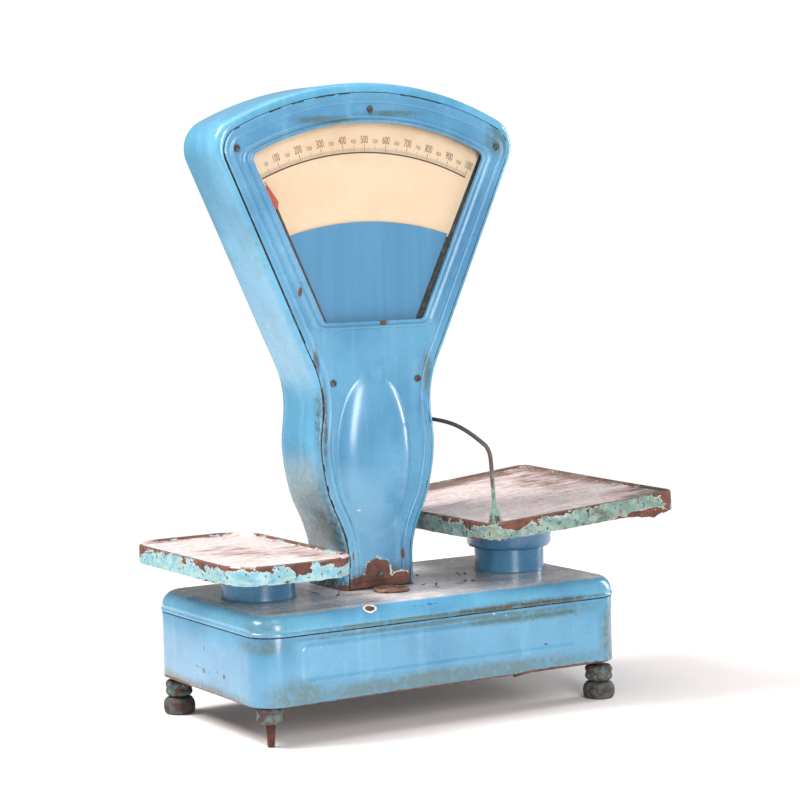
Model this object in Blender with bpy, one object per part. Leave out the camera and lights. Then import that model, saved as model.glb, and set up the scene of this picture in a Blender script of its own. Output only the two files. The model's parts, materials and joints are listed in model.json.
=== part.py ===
"""Counter dial scale: a pressed steel base, a fan-shaped double-faced dial tower and two pans.

The goods pan (right, +X) and the weights pan (left, -X) stand on the two arms of one beam.
The left arm pulls a tape that turns the pointer shaft, and a pendulum weight returns it.
Metres, +Z up, front towards -Y. The origin is the centre of the whole object's box on the floor.
"""
import math

import bmesh
import bpy
from mathutils import Matrix, Vector

# Driving dimensions. Heights are above the base's bottom edge unless a name says otherwise.
FOOT_HEIGHT = 0.045
BASE_LENGTH = 0.480
BASE_DEPTH = 0.2656
BASE_CORNER = 0.032
SEAM_Z = 0.0767
LID_Z = 0.100
LID_ROUND = 0.018
SHEET = 0.0025
GAP = 0.0003
PLATE = 0.004

# The dial tower: its centre plane, and the half-widths of its outline.
TOWER_X = -0.0284
TOWER_Y = 0.013
TOWER_HALF_DEPTH = 0.0437
TOWER_SIDE = ((0.100, 0.0415), (0.145, 0.0418), (0.172, 0.049), (0.210, 0.065), (0.262, 0.0738),
              (0.312, 0.0702), (0.345, 0.0750), (0.385, 0.0922), (0.585, 0.1828))
TOWER_CORNER = 0.028
TOWER_TOP_Z = 0.6658
TOWER_TOP_RADIUS = 0.385
BAND_SIDE = 0.006
BAND_TOP_FACTOR = 1.78

# The window in each cover, and what is behind it. Angles are from straight up.
WINDOW_TOP_Z = 0.6315
WINDOW_TOP_RADIUS = 0.336
WINDOW_TOP = (0.152, 0.5935)
WINDOW_BOTTOM = (0.065, 0.4066)
PIVOT_Z = 0.275
DIAL_OUTER = 0.378
DIAL_INNER_Z = 0.515
DIAL_LEFT = -24.6
DIAL_RIGHT = 25.4
MASK_TOP_Z = 0.5196
MASK_TOP_RADIUS = 0.3467
MASK_BOTTOM_Z = 0.398
POINTER_REST = -24.4
POINTER_TIP = 0.321
PENDULUM_LEAN = -35.0

# The beam and what hangs on it.
ARM = 0.1705
BEAM_Z = 0.060
BEAM_REST = -3.0
STAY_Z = 0.026
DRUM_RADIUS = 0.0034
TAPE_RADIUS = 0.0040
DAMPER_PLACE = (-0.090, 0.0225)

# The pans. The goods pan sits crooked, its right side up.
GOODS_X = 0.172
GOODS_SIZE = (0.2606, 0.3154)
GOODS_TILT = 4.07
GOODS_RIM_Z = 0.1889
WEIGHTS_CENTRE = (-0.1865, 0.007)
WEIGHTS_SIZE = (0.157, 0.278)
WEIGHTS_RIM_Z = 0.1555
PAN_FLANGE = 0.022
PAN_RECESS = 0.004
PAN_SHEET = 0.0016
COLLAR_RADIUS = 0.0415
COLLAR_TOP_Z = 0.128

FOOT_INSET = (0.021, 0.0205)
SCREW_PLACES = {
    "top_left": (-0.1702, 0.6033),
    "top_right": (0.1702, 0.6033),
    "top": (0.0, 0.6463),
    "waist_left": (-0.0556, 0.3381),
    "waist_right": (0.0556, 0.3381),
    "foot": (0.0, 0.115),
}

# The base stands off centre, so that the whole object's box is centred on the origin.
RIGHT_EDGE = (GOODS_X + GOODS_SIZE[0] / 2 * math.cos(math.radians(GOODS_TILT))
              + PAN_FLANGE * math.sin(math.radians(GOODS_TILT)))
LEFT_EDGE = WEIGHTS_CENTRE[0] - WEIGHTS_SIZE[0] / 2
BASE_X = -(RIGHT_EDGE + LEFT_EDGE) / 2


# Materials -------------------------------------------------------------------

def material(name, colour, metallic, roughness):
    mat = bpy.data.materials.new(name)
    mat.use_nodes = True
    shader = mat.node_tree.nodes["Principled BSDF"]
    shader.inputs["Base Color"].default_value = (*colour, 1.0)
    shader.inputs["Metallic"].default_value = metallic
    shader.inputs["Roughness"].default_value = roughness
    mat.diffuse_color = (*colour, 1.0)
    return mat


FINISHES = {
    "blue_paint": ((0.20, 0.44, 0.62), 0.0, 0.35),
    "collar_paint": ((0.10, 0.27, 0.42), 0.0, 0.25),
    "mask_paint": ((0.16, 0.38, 0.60), 0.0, 0.5),
    "pan_enamel": ((0.42, 0.52, 0.48), 0.0, 0.6),
    "rust": ((0.20, 0.09, 0.05), 0.3, 0.85),
    "foot_paint": ((0.10, 0.11, 0.10), 0.0, 0.6),
    "dial_cream": ((0.94, 0.80, 0.58), 0.0, 0.5),
    "pointer_red": ((0.45, 0.08, 0.06), 0.0, 0.45),
    "glass": ((0.9, 0.95, 0.95), 0.0, 0.05),
    "cast_iron": ((0.09, 0.09, 0.09), 0.6, 0.6),
    "steel": ((0.45, 0.45, 0.45), 1.0, 0.35),
    "brass": ((0.65, 0.48, 0.20), 1.0, 0.35),
}


# Outlines: lists of (x, y) in the outline's own plane --------------------------

def rounded_rect(width, depth, radius, offset=0.0, steps=6):
    """Anticlockwise rounded rectangle, moved outward by offset."""
    r = max(radius + offset, 0.0005)
    half_w = width / 2 + offset - r
    half_d = depth / 2 + offset - r
    points = []
    for corner, (sx, sy) in enumerate(((1, 1), (-1, 1), (-1, -1), (1, -1))):
        for i in range(steps + 1):
            a = math.radians(90 * corner + 90 * i / steps)
            points.append((sx * half_w + r * math.cos(a), sy * half_d + r * math.sin(a)))
    return points


def circle(radius, segments, centre=(0.0, 0.0)):
    return [(centre[0] + radius * math.cos(2 * math.pi * i / segments),
             centre[1] + radius * math.sin(2 * math.pi * i / segments)) for i in range(segments)]


def ellipse(half_w, half_h, centre, segments, scale=1.0):
    return [(centre[0] + scale * half_w * math.cos(2 * math.pi * i / segments),
             centre[1] + scale * half_h * math.sin(2 * math.pi * i / segments)) for i in range(segments)]


def spline(knots, t):
    """Hermite curve through (z, value) knots: the value and its slope at height t."""
    last = len(knots) - 1

    def slope(k):
        a = knots[max(k - 1, 0)]
        b = knots[min(k + 1, last)]
        return (b[1] - a[1]) / (b[0] - a[0])

    i = 0
    while i < last - 1 and t > knots[i + 1][0]:
        i += 1
    (z0, v0), (z1, v1) = knots[i], knots[i + 1]
    h = z1 - z0
    s = (t - z0) / h
    m0 = 0.0 if i == 0 else slope(i) * h
    m1 = (v1 - v0 if i + 1 == last else slope(i + 1) * h)
    value = ((2 * s**3 - 3 * s**2 + 1) * v0 + (s**3 - 2 * s**2 + s) * m0
             + (-2 * s**3 + 3 * s**2) * v1 + (s**3 - s**2) * m1)
    rate = ((6 * s**2 - 6 * s) * v0 + (3 * s**2 - 4 * s + 1) * m0
            + (-6 * s**2 + 6 * s) * v1 + (3 * s**2 - 2 * s) * m1) / h
    return value, rate


def corner_arc(line_point, line_dir, arc_z, arc_radius, radius, steps):
    """Points of the fillet between a straight side and a top arc centred on the axis."""
    inward = Vector((-line_dir[1], line_dir[0]))
    start = Vector(line_point) + inward * radius
    direction = Vector(line_dir)
    to_start = start - Vector((0.0, arc_z))
    b = to_start.dot(direction)
    c = to_start.length_squared - (arc_radius - radius) ** 2
    centre = start + direction * (-b + math.sqrt(b * b - c))
    first = math.atan2(-inward[1], -inward[0])
    out = centre - Vector((0.0, arc_z))
    last = math.atan2(out[1], out[0])
    angles = [first + (last - first) * i / steps for i in range(steps + 1)]
    return [(centre[0] + radius * math.cos(a), centre[1] + radius * math.sin(a)) for a in angles]


def tower_outline(offset, lift=0.0, side_steps=11, corner_steps=4, top_steps=10):
    """The tower's outline from its right foot, lifted by lift, over the top to its left foot."""
    foot_z = TOWER_SIDE[0][0] + GAP + lift
    z_a, w_a = TOWER_SIDE[-2]
    z_b, w_b = TOWER_SIDE[-1]
    direction = Vector((w_b - w_a, z_b - z_a)).normalized()
    out = Vector((direction[1], -direction[0]))
    line_point = Vector((w_a, z_a)) + out * offset
    arc_radius = TOWER_TOP_RADIUS + offset * (BAND_TOP_FACTOR if offset > 0 else 1.0)
    arc_z = TOWER_TOP_Z - TOWER_TOP_RADIUS
    fillet = corner_arc(line_point, direction, arc_z, arc_radius, TOWER_CORNER + offset, corner_steps)
    right = []
    for i in range(side_steps):
        z = foot_z + (z_a - foot_z) * i / (side_steps - 1)
        width, rate = spline(TOWER_SIDE, z)
        right.append((width + offset * math.sqrt(1 + rate * rate), z))
    right += fillet
    end_angle = math.atan2(fillet[-1][0], fillet[-1][1] - arc_z)
    top = []
    for i in range(1, top_steps):
        a = end_angle * (1 - 2 * i / top_steps)
        top.append((arc_radius * math.sin(a), arc_z + arc_radius * math.cos(a)))
    left = [(-x, z) for x, z in reversed(right)]
    return right + top + left


def window_outline(offset, corner_steps=3, top_steps=10):
    """The window's closed outline, moved outward by offset, as (x, z)."""
    side = Vector((WINDOW_TOP[0] - WINDOW_BOTTOM[0], WINDOW_TOP[1] - WINDOW_BOTTOM[1])).normalized()
    out = Vector((side[1], -side[0]))
    line_point = Vector(WINDOW_BOTTOM) + out * offset
    arc_z = WINDOW_TOP_Z - WINDOW_TOP_RADIUS
    arc_radius = WINDOW_TOP_RADIUS + offset
    top_fillet = corner_arc(line_point, side, arc_z, arc_radius, 0.008 + offset, corner_steps)
    bottom_z = WINDOW_BOTTOM[1] - offset
    r = 0.006 + offset
    half_angle = math.atan2(side[0], side[1])
    turn = math.pi / 2 - half_angle
    reach = r * math.tan(turn / 2)
    foot = line_point + side * ((bottom_z - line_point[1]) / side[1])
    centre = Vector((foot[0] - reach, bottom_z + r))
    right = []
    for i in range(corner_steps + 1):
        a = -math.pi / 2 + turn * i / corner_steps
        right.append((centre[0] + r * math.cos(a), centre[1] + r * math.sin(a)))
    right += top_fillet
    end_angle = math.atan2(top_fillet[-1][0], top_fillet[-1][1] - arc_z)
    top = []
    for i in range(1, top_steps):
        a = end_angle * (1 - 2 * i / top_steps)
        top.append((arc_radius * math.sin(a), arc_z + arc_radius * math.cos(a)))
    return right + top + [(-x, z) for x, z in reversed(right)]


def sector(radius, angle_from, angle_to, steps):
    """Points on an arc about the pointer's pivot, angles in degrees clockwise from straight up."""
    points = []
    for i in range(steps + 1):
        a = math.radians(angle_from + (angle_to - angle_from) * i / steps)
        points.append((radius * math.sin(a), PIVOT_Z + radius * math.cos(a)))
    return points


# Mesh builders: each adds to a bmesh --------------------------------------------

def add_loft(bm, rings, closed=False):
    """Skin a list of equal rings of points; the ends are capped unless the loft closes on itself."""
    rows = [[bm.verts.new(p) for p in ring] for ring in rings]
    count = len(rows[0])
    pairs = list(zip(rows, rows[1:]))
    if closed:
        pairs.append((rows[-1], rows[0]))
    faces = []
    for low, high in pairs:
        for i in range(count):
            j = (i + 1) % count
            faces.append(bm.faces.new((low[i], low[j], high[j], high[i])))
    if not closed:
        faces.append(bm.faces.new(list(reversed(rows[0]))))
        faces.append(bm.faces.new(rows[-1]))
    bmesh.ops.recalc_face_normals(bm, faces=faces)


AXES = {
    "Z": lambda u, v, w: (u, v, w),
    "Y": lambda u, v, w: (u, w, v),
    "X": lambda u, v, w: (w, u, v),
}


def add_lathe(bm, profile, segments, axis="Z", centre=(0.0, 0.0, 0.0), closed=False):
    """Turn a profile of (radius, height) about an axis through centre."""
    place = AXES[axis]
    rings = []
    for radius, height in profile:
        ring = [Vector(place(x, y, height)) + Vector(centre) for x, y in circle(radius, segments)]
        rings.append(ring)
    add_loft(bm, rings, closed)


def add_prism(bm, outline, low, high, axis="Z", holes=(), centre=(0.0, 0.0, 0.0)):
    """A flat plate with holes: the outlines are filled at low and at high and joined by walls."""
    place = AXES[axis]
    offset = Vector(centre)
    faces = []
    levels = []
    for height in (low, high):
        loops = []
        edges = []
        for loop in (outline, *holes):
            verts = [bm.verts.new(Vector(place(x, y, height)) + offset) for x, y in loop]
            edges += [bm.edges.new((a, b)) for a, b in zip(verts, verts[1:] + verts[:1])]
            loops.append(verts)
        if holes:
            filled = bmesh.ops.triangle_fill(bm, use_beauty=True, edges=edges)
            faces += [f for f in filled["geom"] if isinstance(f, bmesh.types.BMFace)]
        else:
            faces.append(bm.faces.new(loops[0]))
        levels.append(loops)
    for below, above in zip(*levels):
        for i in range(len(below)):
            j = (i + 1) % len(below)
            faces.append(bm.faces.new((below[i], below[j], above[j], above[i])))
    bmesh.ops.recalc_face_normals(bm, faces=faces)


def add_box(bm, low, high):
    (x0, y0, z0), (x1, y1, z1) = low, high
    add_prism(bm, [(x0, y0), (x1, y0), (x1, y1), (x0, y1)], z0, z1)


# Objects ------------------------------------------------------------------------

def new_object(name, bm, finish, parent, location=(0.0, 0.0, 0.0), rotation=(0.0, 0.0, 0.0)):
    mesh = bpy.data.meshes.new(name)
    bm.to_mesh(mesh)
    bm.free()
    mesh.shade_smooth()
    mesh.set_sharp_from_angle(angle=math.radians(35))
    obj = bpy.data.objects.new(name, mesh)
    bpy.context.collection.objects.link(obj)
    obj.parent = parent
    obj.location = location
    obj.rotation_euler = [math.radians(a) for a in rotation]
    mesh.materials.append(bpy.data.materials[finish])
    return obj


def new_empty(name, parent=None, location=(0.0, 0.0, 0.0), rotation=(0.0, 0.0, 0.0)):
    empty = bpy.data.objects.new(name, None)
    bpy.context.collection.objects.link(empty)
    empty.parent = parent
    empty.location = location
    empty.rotation_euler = [math.radians(a) for a in rotation]
    return empty


def boolean(obj, tool_bm, operation):
    """Cut or join a hidden tool that shares the object's parent and place."""
    mesh = bpy.data.meshes.new(obj.name + "_tool")
    tool_bm.to_mesh(mesh)
    tool_bm.free()
    tool = bpy.data.objects.new(obj.name + "_tool", mesh)
    bpy.context.collection.objects.link(tool)
    tool.parent = obj.parent
    tool.location = obj.location
    tool.rotation_euler = obj.rotation_euler
    tool.hide_render = True
    tool.display_type = "WIRE"
    modifier = obj.modifiers.new(operation.lower(), "BOOLEAN")
    modifier.operation = operation
    modifier.solver = "EXACT"
    modifier.object = tool


def base_ring(offset, z):
    return [(x, y, z) for x, y in rounded_rect(BASE_LENGTH, BASE_DEPTH, BASE_CORNER, offset)]


# The base -------------------------------------------------------------------------

def make_base(frame):
    bm = bmesh.new()
    top = SEAM_Z - GAP
    section = ((0, 0), (0, top), (-SHEET, top), (-SHEET, SHEET), (-0.010, SHEET), (-0.010, 0))
    add_loft(bm, [base_ring(offset, z) for offset, z in section], closed=True)
    housing = new_object("base_housing", bm, "blue_paint", frame)
    panel = bmesh.new()
    face_y = -BASE_DEPTH / 2
    centre_x = -0.0075
    centre_z = 0.0435
    rings = []
    for inset, y in ((0.0, face_y + 0.0010), (0.0, face_y - 0.0002), (0.0030, face_y - 0.0010),
                     (0.0055, face_y - 0.0013)):
        outline = rounded_rect(0.367, 0.047, 0.010, -inset, 3)
        rings.append([(centre_x + x, y, centre_z + z) for x, z in outline])
    add_loft(panel, rings)
    boolean(housing, panel, "UNION")

    bm = bmesh.new()
    sections = [(-LID_ROUND, LID_Z - SHEET), (-0.010, LID_Z - SHEET - 0.002),
                (-0.0045, LID_Z - SHEET - 0.008), (-0.0022, SEAM_Z + 0.005), (-0.0022, SEAM_Z),
                (0.0012, SEAM_Z), (0.0012, SEAM_Z + 0.003), (0.0, SEAM_Z + 0.0045)]
    for i in range(1, 7):
        a = math.radians(90 * i / 6)
        sections.append((-LID_ROUND * (1 - math.cos(a)), LID_Z - LID_ROUND * (1 - math.sin(a))))
    add_loft(bm, [base_ring(offset, z) for offset, z in sections])
    lid = new_object("base_lid", bm, "blue_paint", frame)
    cuts = bmesh.new()
    for x in (-ARM, ARM):
        add_lathe(cuts, [(0.036, 0.09), (0.036, 0.11)], 24, centre=(x, 0, 0))
    add_box(cuts, (TOWER_X - 0.032, TOWER_Y - 0.032, 0.09), (TOWER_X + 0.032, TOWER_Y + 0.032, 0.11))
    boolean(lid, cuts, "DIFFERENCE")

    bm = bmesh.new()
    plate = rounded_rect(BASE_LENGTH, BASE_DEPTH, BASE_CORNER, -SHEET - 0.0006)
    low = SHEET + GAP
    add_prism(bm, plate, low, low + PLATE)
    base_plate = new_object("base_plate", bm, "cast_iron", frame)
    for x, y in foot_places():
        boss = bmesh.new()
        add_lathe(boss, [(0.0120, low + 0.001), (0.0120, 0.0240), (0.0105, 0.0255)], 12, centre=(x, y, 0))
        boolean(base_plate, boss, "UNION")
    cuts = bmesh.new()
    for x, y in foot_places():
        add_lathe(cuts, [(0.0046, 0.0), (0.0046, 0.030)], 12, centre=(x, y, 0))
    add_prism(cuts, [(0.085, -0.05), (0.205, -0.05), (0.205, 0.05), (0.085, 0.05)], 0.0, 0.010)
    boolean(base_plate, cuts, "DIFFERENCE")

    for side, x in (("goods", ARM), ("weights", -ARM)):
        bm = bmesh.new()
        section = [(0.0380, 0.0), (0.0428, 0.0), (0.0418, 0.0012), (COLLAR_RADIUS, 0.0030),
                   (COLLAR_RADIUS, 0.0262), (0.0408, 0.0274), (0.0380, 0.0274)]
        add_lathe(bm, section, 32, closed=True)
        new_object(side + "_collar", bm, "collar_paint", frame, (x, 0, LID_Z + GAP))

    bm = bmesh.new()
    profile = [(0.0195, 0.0), (0.0205, 0.0010), (0.0200, 0.0028), (0.0180, 0.0034),
               (0.0160, 0.0026), (0.0080, 0.0022)]
    add_lathe(bm, profile, 28)
    new_object("level_cap", bm, "rust", frame, (-0.030, -0.057, LID_Z + GAP))


def foot_places():
    x = BASE_LENGTH / 2 - FOOT_INSET[0]
    y = BASE_DEPTH / 2 - FOOT_INSET[1]
    return [(-x, -y), (x, -y), (-x, y), (x, y)]


def make_feet(frame):
    """A levelling screw and its lock nut at each corner; the front left one has lost its pad."""
    names = ("front_left", "front_right", "back_left", "back_right")
    for name, (x, y) in zip(names, foot_places()):
        bare = name == "front_left"
        top = -0.0004 if bare else -0.0060
        height = 0.0180
        bm = bmesh.new()
        section = [(0.0046, 0.0), (0.0140, 0.0), (0.0162, -0.0035), (0.0162, -height + 0.0035),
                   (0.0140, -height), (0.0046, -height)]
        add_lathe(bm, section, 12, closed=True)
        new_object("lock_nut_" + name, bm, "foot_paint", frame, (x, y, top))
        if bare:
            profile = [(0.0042, 0.030), (0.0042, -0.0188), (0.0056, -0.0194), (0.0054, -0.030),
                       (0.0048, -0.042), (0.0040, -FOOT_HEIGHT)]
        else:
            profile = [(0.0042, 0.030), (0.0042, -0.0245), (0.0060, -0.0260), (0.0150, -0.0275),
                       (0.0180, -0.0310), (0.0187, -0.0355), (0.0180, -0.0405), (0.0155, -FOOT_HEIGHT)]
        bm = bmesh.new()
        add_lathe(bm, profile, 16)
        new_object("foot_" + name, bm, "rust" if bare else "foot_paint", frame, (x, y, 0))


def make_lock_lever(frame):
    """A bent rod with a loop at its end, turned about an upright pin under the base plate."""
    bm = bmesh.new()
    loop = 0.0065
    reach = 0.040
    z = -0.0065
    path = [(0.0, 0.0, 0.0018), (0.0, 0.0, -0.0035), (0.004, 0.0, z), (0.012, 0.0, z), (reach, 0.0, z)]
    for i in range(1, 10):
        a = math.radians(-90 + 30 * i)
        path.append((reach + loop * math.cos(a), loop + loop * math.sin(a), z))
    add_tube(bm, path, 0.0019, 8)
    new_object("lock_lever", bm, "rust", frame, (0.100, -0.108, 0.0), (0, 0, 20))


def add_tube(bm, path, radius, sides):
    """A round bar along a path; each ring stands square to the path."""
    points = [Vector(p) for p in path]
    rings = []
    side = None
    for i, point in enumerate(points):
        ahead = points[min(i + 1, len(points) - 1)] - points[max(i - 1, 0)]
        ahead.normalize()
        if side is None:
            side = ahead.orthogonal().normalized()
        side = (side - ahead * side.dot(ahead)).normalized()
        other = ahead.cross(side)
        ring = []
        for k in range(sides):
            a = 2 * math.pi * k / sides
            ring.append(point + radius * (math.cos(a) * side + math.sin(a) * other))
        rings.append(ring)
    add_loft(bm, rings)


# The tower ------------------------------------------------------------------------

def make_band(tower):
    """The tower's side shell: a channel bent over the outline, its edges turned in as a rebate."""
    half = TOWER_HALF_DEPTH
    seam = tower_outline(0.0)
    outer = tower_outline(BAND_SIDE)
    lip = 0.008
    sheet = 0.002
    inner = tower_outline(-0.007)
    rings = []
    for (sx, sz), (ox, oz), (ix, iz) in zip(seam, outer, inner):
        wall = Vector((ox - sx, oz - sz))
        inward = Vector((ix - sx, iz - sz))
        thick = wall * (1 - sheet / wall.length)
        ring = []
        for sign in (-1, 1):
            arc = []
            for i in range(4):
                a = math.radians(90 * i / 3)
                arc.append((wall * math.sin(a), sign * (half - lip * (1 - math.cos(a)))))
            ring += arc if sign < 0 else list(reversed(arc))
        ring += [(inward * 0, half - sheet), (inward, half - sheet), (inward, half - 1.8 * sheet),
                 (thick, half - 1.8 * sheet), (thick, -half + 1.8 * sheet),
                 (inward, -half + 1.8 * sheet), (inward, -half + sheet), (inward * 0, -half + sheet)]
        rings.append([(sx + d[0], y, sz + d[1]) for d, y in ring])
    bm = bmesh.new()
    add_loft(bm, rings)
    new_object("tower_band", bm, "blue_paint", tower)


def make_cover(tower, name, rotation):
    """A pressed cover: a bead along its edge, a raised window frame and an oval bulge."""
    bm = bmesh.new()
    front = -TOWER_HALF_DEPTH

    def ring(outline, rise):
        return [bm.verts.new((x, front - rise, z)) for x, z in outline]

    def skin(rows):
        for low, high in zip(rows, rows[1:]):
            for i in range(len(low)):
                j = (i + 1) % len(low)
                bm.faces.new((low[i], low[j], high[j], high[i]))

    def loop_edges(row):
        pairs = zip(row, row[1:] + row[:1])
        return [bm.edges.get(pair) or bm.edges.new(pair) for pair in pairs]

    edge = [ring(tower_outline(d, -d), rise)
            for d, rise in ((-0.0004, 0.0), (-0.0030, 0.0014), (-0.0065, 0.0014), (-0.0095, 0.0))]
    skin(edge)
    frame = [ring(window_outline(d), rise)
             for d, rise in ((0.0090, 0.0), (0.0060, 0.0024), (0.0025, 0.0026), (0.0, -0.0012))]
    skin(frame)
    bulge = (-0.004, 0.254)
    dome = []
    for scale, rise in ((1.0, 0.0), (0.90, 0.0045), (0.72, 0.0090), (0.45, 0.0122), (0.18, 0.0134)):
        dome.append(ring(ellipse(0.048, 0.096, bulge, 20, scale), rise))
    skin(dome)
    bm.faces.new(dome[-1])
    holes = [ring(circle(0.0026, 8, place), 0.0) for place in SCREW_PLACES.values()]
    edges = loop_edges(edge[-1]) + loop_edges(frame[0]) + loop_edges(dome[0])
    for hole in holes:
        edges += loop_edges(hole)
    bmesh.ops.triangle_fill(bm, use_beauty=True, edges=edges)
    bmesh.ops.recalc_face_normals(bm, faces=bm.faces[:])
    outward = sum((f.normal.y * f.calc_area() for f in bm.faces), 0.0)
    if outward > 0:
        bmesh.ops.reverse_faces(bm, faces=bm.faces[:])
    cover = new_object(name, bm, "blue_paint", tower, rotation=rotation)
    solidify = cover.modifiers.new("sheet", "SOLIDIFY")
    solidify.thickness = 0.0012
    solidify.offset = -1.0
    return cover


def make_tie_bolts(tower):
    """Each bolt runs through both covers, with a thicker middle that keeps them apart."""
    end = TOWER_HALF_DEPTH
    head = [(0.0012, end + 0.0028), (0.0032, end + 0.0024), (0.0044, end + 0.0012), (0.0044, end + GAP),
            (0.0020, end + GAP), (0.0020, end - 0.0045), (0.0036, end - 0.0045)]
    profile = [(r, -y) for r, y in head] + [(r, y) for r, y in reversed(head)]
    for name, (x, z) in SCREW_PLACES.items():
        bm = bmesh.new()
        add_lathe(bm, profile, 8, "Y")
        new_object("tie_bolt_" + name, bm, "rust", tower, (x, 0, z))


def make_tower(frame):
    tower = new_empty("tower", frame, (TOWER_X, TOWER_Y, 0))
    make_band(tower)
    half = TOWER_HALF_DEPTH
    for side, rotation in (("front", (0, 0, 0)), ("rear", (0, 0, 180))):
        make_cover(tower, side + "_cover", rotation)
        bm = bmesh.new()
        add_prism(bm, window_outline(0.0055, 2, 10), -half + 0.0030, -half + 0.0050, "Y")
        new_object(side + "_glass", bm, "glass", tower, rotation=rotation)
        make_dial(tower, side, rotation)

    make_tie_bolts(tower)
    hole = circle(0.0078, 16, (0, PIVOT_Z))
    outline = [(-0.015, 0.1005), (0.015, 0.1005), (0.015, 0.262), (0.012, 0.290), (-0.012, 0.290),
               (-0.015, 0.262)]
    bm = bmesh.new()
    holes = [hole, circle(0.0044, 12, SCREW_PLACES["foot"])]
    add_prism(bm, outline, -0.022, -0.018, "Y", holes)
    bracket = new_object("quadrant_frame", bm, "cast_iron", tower)
    rear = bmesh.new()
    add_prism(rear, outline, 0.018, 0.022, "Y", holes)
    boolean(bracket, rear, "UNION")
    for z in (0.108, 0.160):
        web = bmesh.new()
        add_box(web, (0.008, -0.020, z), (0.013, 0.020, z + 0.012))
        boolean(bracket, web, "UNION")

    for side, y in (("front", -0.022), ("rear", 0.018)):
        bm = bmesh.new()
        add_lathe(bm, [(0.0030, y), (0.0075, y), (0.0075, y + 0.004), (0.0030, y + 0.004)], 14, "Y",
                  (0, 0, PIVOT_Z), closed=True)
        new_object(side + "_bearing", bm, "brass", tower)
    make_quadrant(tower)
    return tower


def make_dial(tower, side, rotation):
    """The cream scale plate and the painted mask plate below it."""
    half = TOWER_HALF_DEPTH
    left, right = (DIAL_LEFT, DIAL_RIGHT) if side == "front" else (-DIAL_RIGHT, -DIAL_LEFT)
    outer = sector(DIAL_OUTER, left, right, 18)
    slope_left = math.tan(math.radians(left))
    slope_right = math.tan(math.radians(right))
    low = [(slope_right * (0.500 - PIVOT_Z), 0.500), (0.0, DIAL_INNER_Z),
           (slope_left * (0.500 - PIVOT_Z), 0.500)]
    bm = bmesh.new()
    hole = circle(0.0040, 12, SCREW_PLACES["top"])
    add_prism(bm, outer + low, -half + 0.0137, -half + 0.0147, "Y", [hole])
    new_object(side + "_dial", bm, "dial_cream", tower, rotation=rotation)

    centre_z = MASK_TOP_Z - MASK_TOP_RADIUS
    top = []
    for i in range(13):
        x = 0.1055 * (i / 6 - 1)
        top.append((x, centre_z + math.sqrt(MASK_TOP_RADIUS**2 - x * x)))
    bottom_half = math.tan(math.radians(24.8)) * (MASK_BOTTOM_Z - PIVOT_Z)
    bottom = [(bottom_half, MASK_BOTTOM_Z), (-bottom_half, MASK_BOTTOM_Z)]
    bm = bmesh.new()
    add_prism(bm, top + bottom, -half + 0.0122, -half + 0.0132, "Y")
    new_object(side + "_mask", bm, "mask_paint", tower, rotation=rotation)


def make_quadrant(tower):
    """What turns with the pointers: shaft with its tape drum, two pointers and the pendulum."""
    half = TOWER_HALF_DEPTH
    pivot = new_empty("pointer_pivot", tower, (0, 0, PIVOT_Z), (0, POINTER_REST, 0))
    end = half - 0.0070
    bm = bmesh.new()
    profile = [(0.0026, -end), (0.0026, -0.0050), (DRUM_RADIUS, -0.0045), (DRUM_RADIUS, 0.0045),
               (0.0026, 0.0050), (0.0026, end)]
    add_lathe(bm, profile, 16, "Y")
    new_object("pointer_shaft", bm, "steel", pivot)

    blade = [(0.0022, 0.009), (0.0018, 0.255), (0.0042, 0.2650), (0.0005, 0.296), (0.0004, POINTER_TIP)]
    outline = [(0.0090 * math.sin(math.radians(a)), 0.0090 * math.cos(math.radians(a)))
               for a in range(30, 331, 30)]
    outline += [(-x, z) for x, z in blade] + list(reversed(blade))
    hole = circle(0.0030, 10)
    for name, y in (("front_pointer", -half + 0.0082), ("rear_pointer", half - 0.0090)):
        bm = bmesh.new()
        add_prism(bm, outline, y, y + 0.0008, "Y", [hole])
        new_object(name, bm, "pointer_red", pivot)

    bm = bmesh.new()
    hub = [(0.008 * math.sin(math.radians(a)), 0.008 * math.cos(math.radians(a)))
           for a in range(-150, 151, 30)]
    arm = hub + [(0.0040, -0.040), (-0.0040, -0.040)]
    add_prism(bm, arm, 0.0095, 0.0125, "Y", [hole])
    lean = (0, PENDULUM_LEAN, 0)
    pendulum = new_object("pendulum", bm, "cast_iron", pivot, rotation=lean)
    weight = bmesh.new()
    add_lathe(weight, [(0.0150, 0.0042), (0.0165, 0.0057), (0.0165, 0.0150), (0.0150, 0.0165)], 18,
              "Y", (0, 0.0, -0.0500))
    boolean(pendulum, weight, "UNION")


# The weighing mechanism ----------------------------------------------------------

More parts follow.
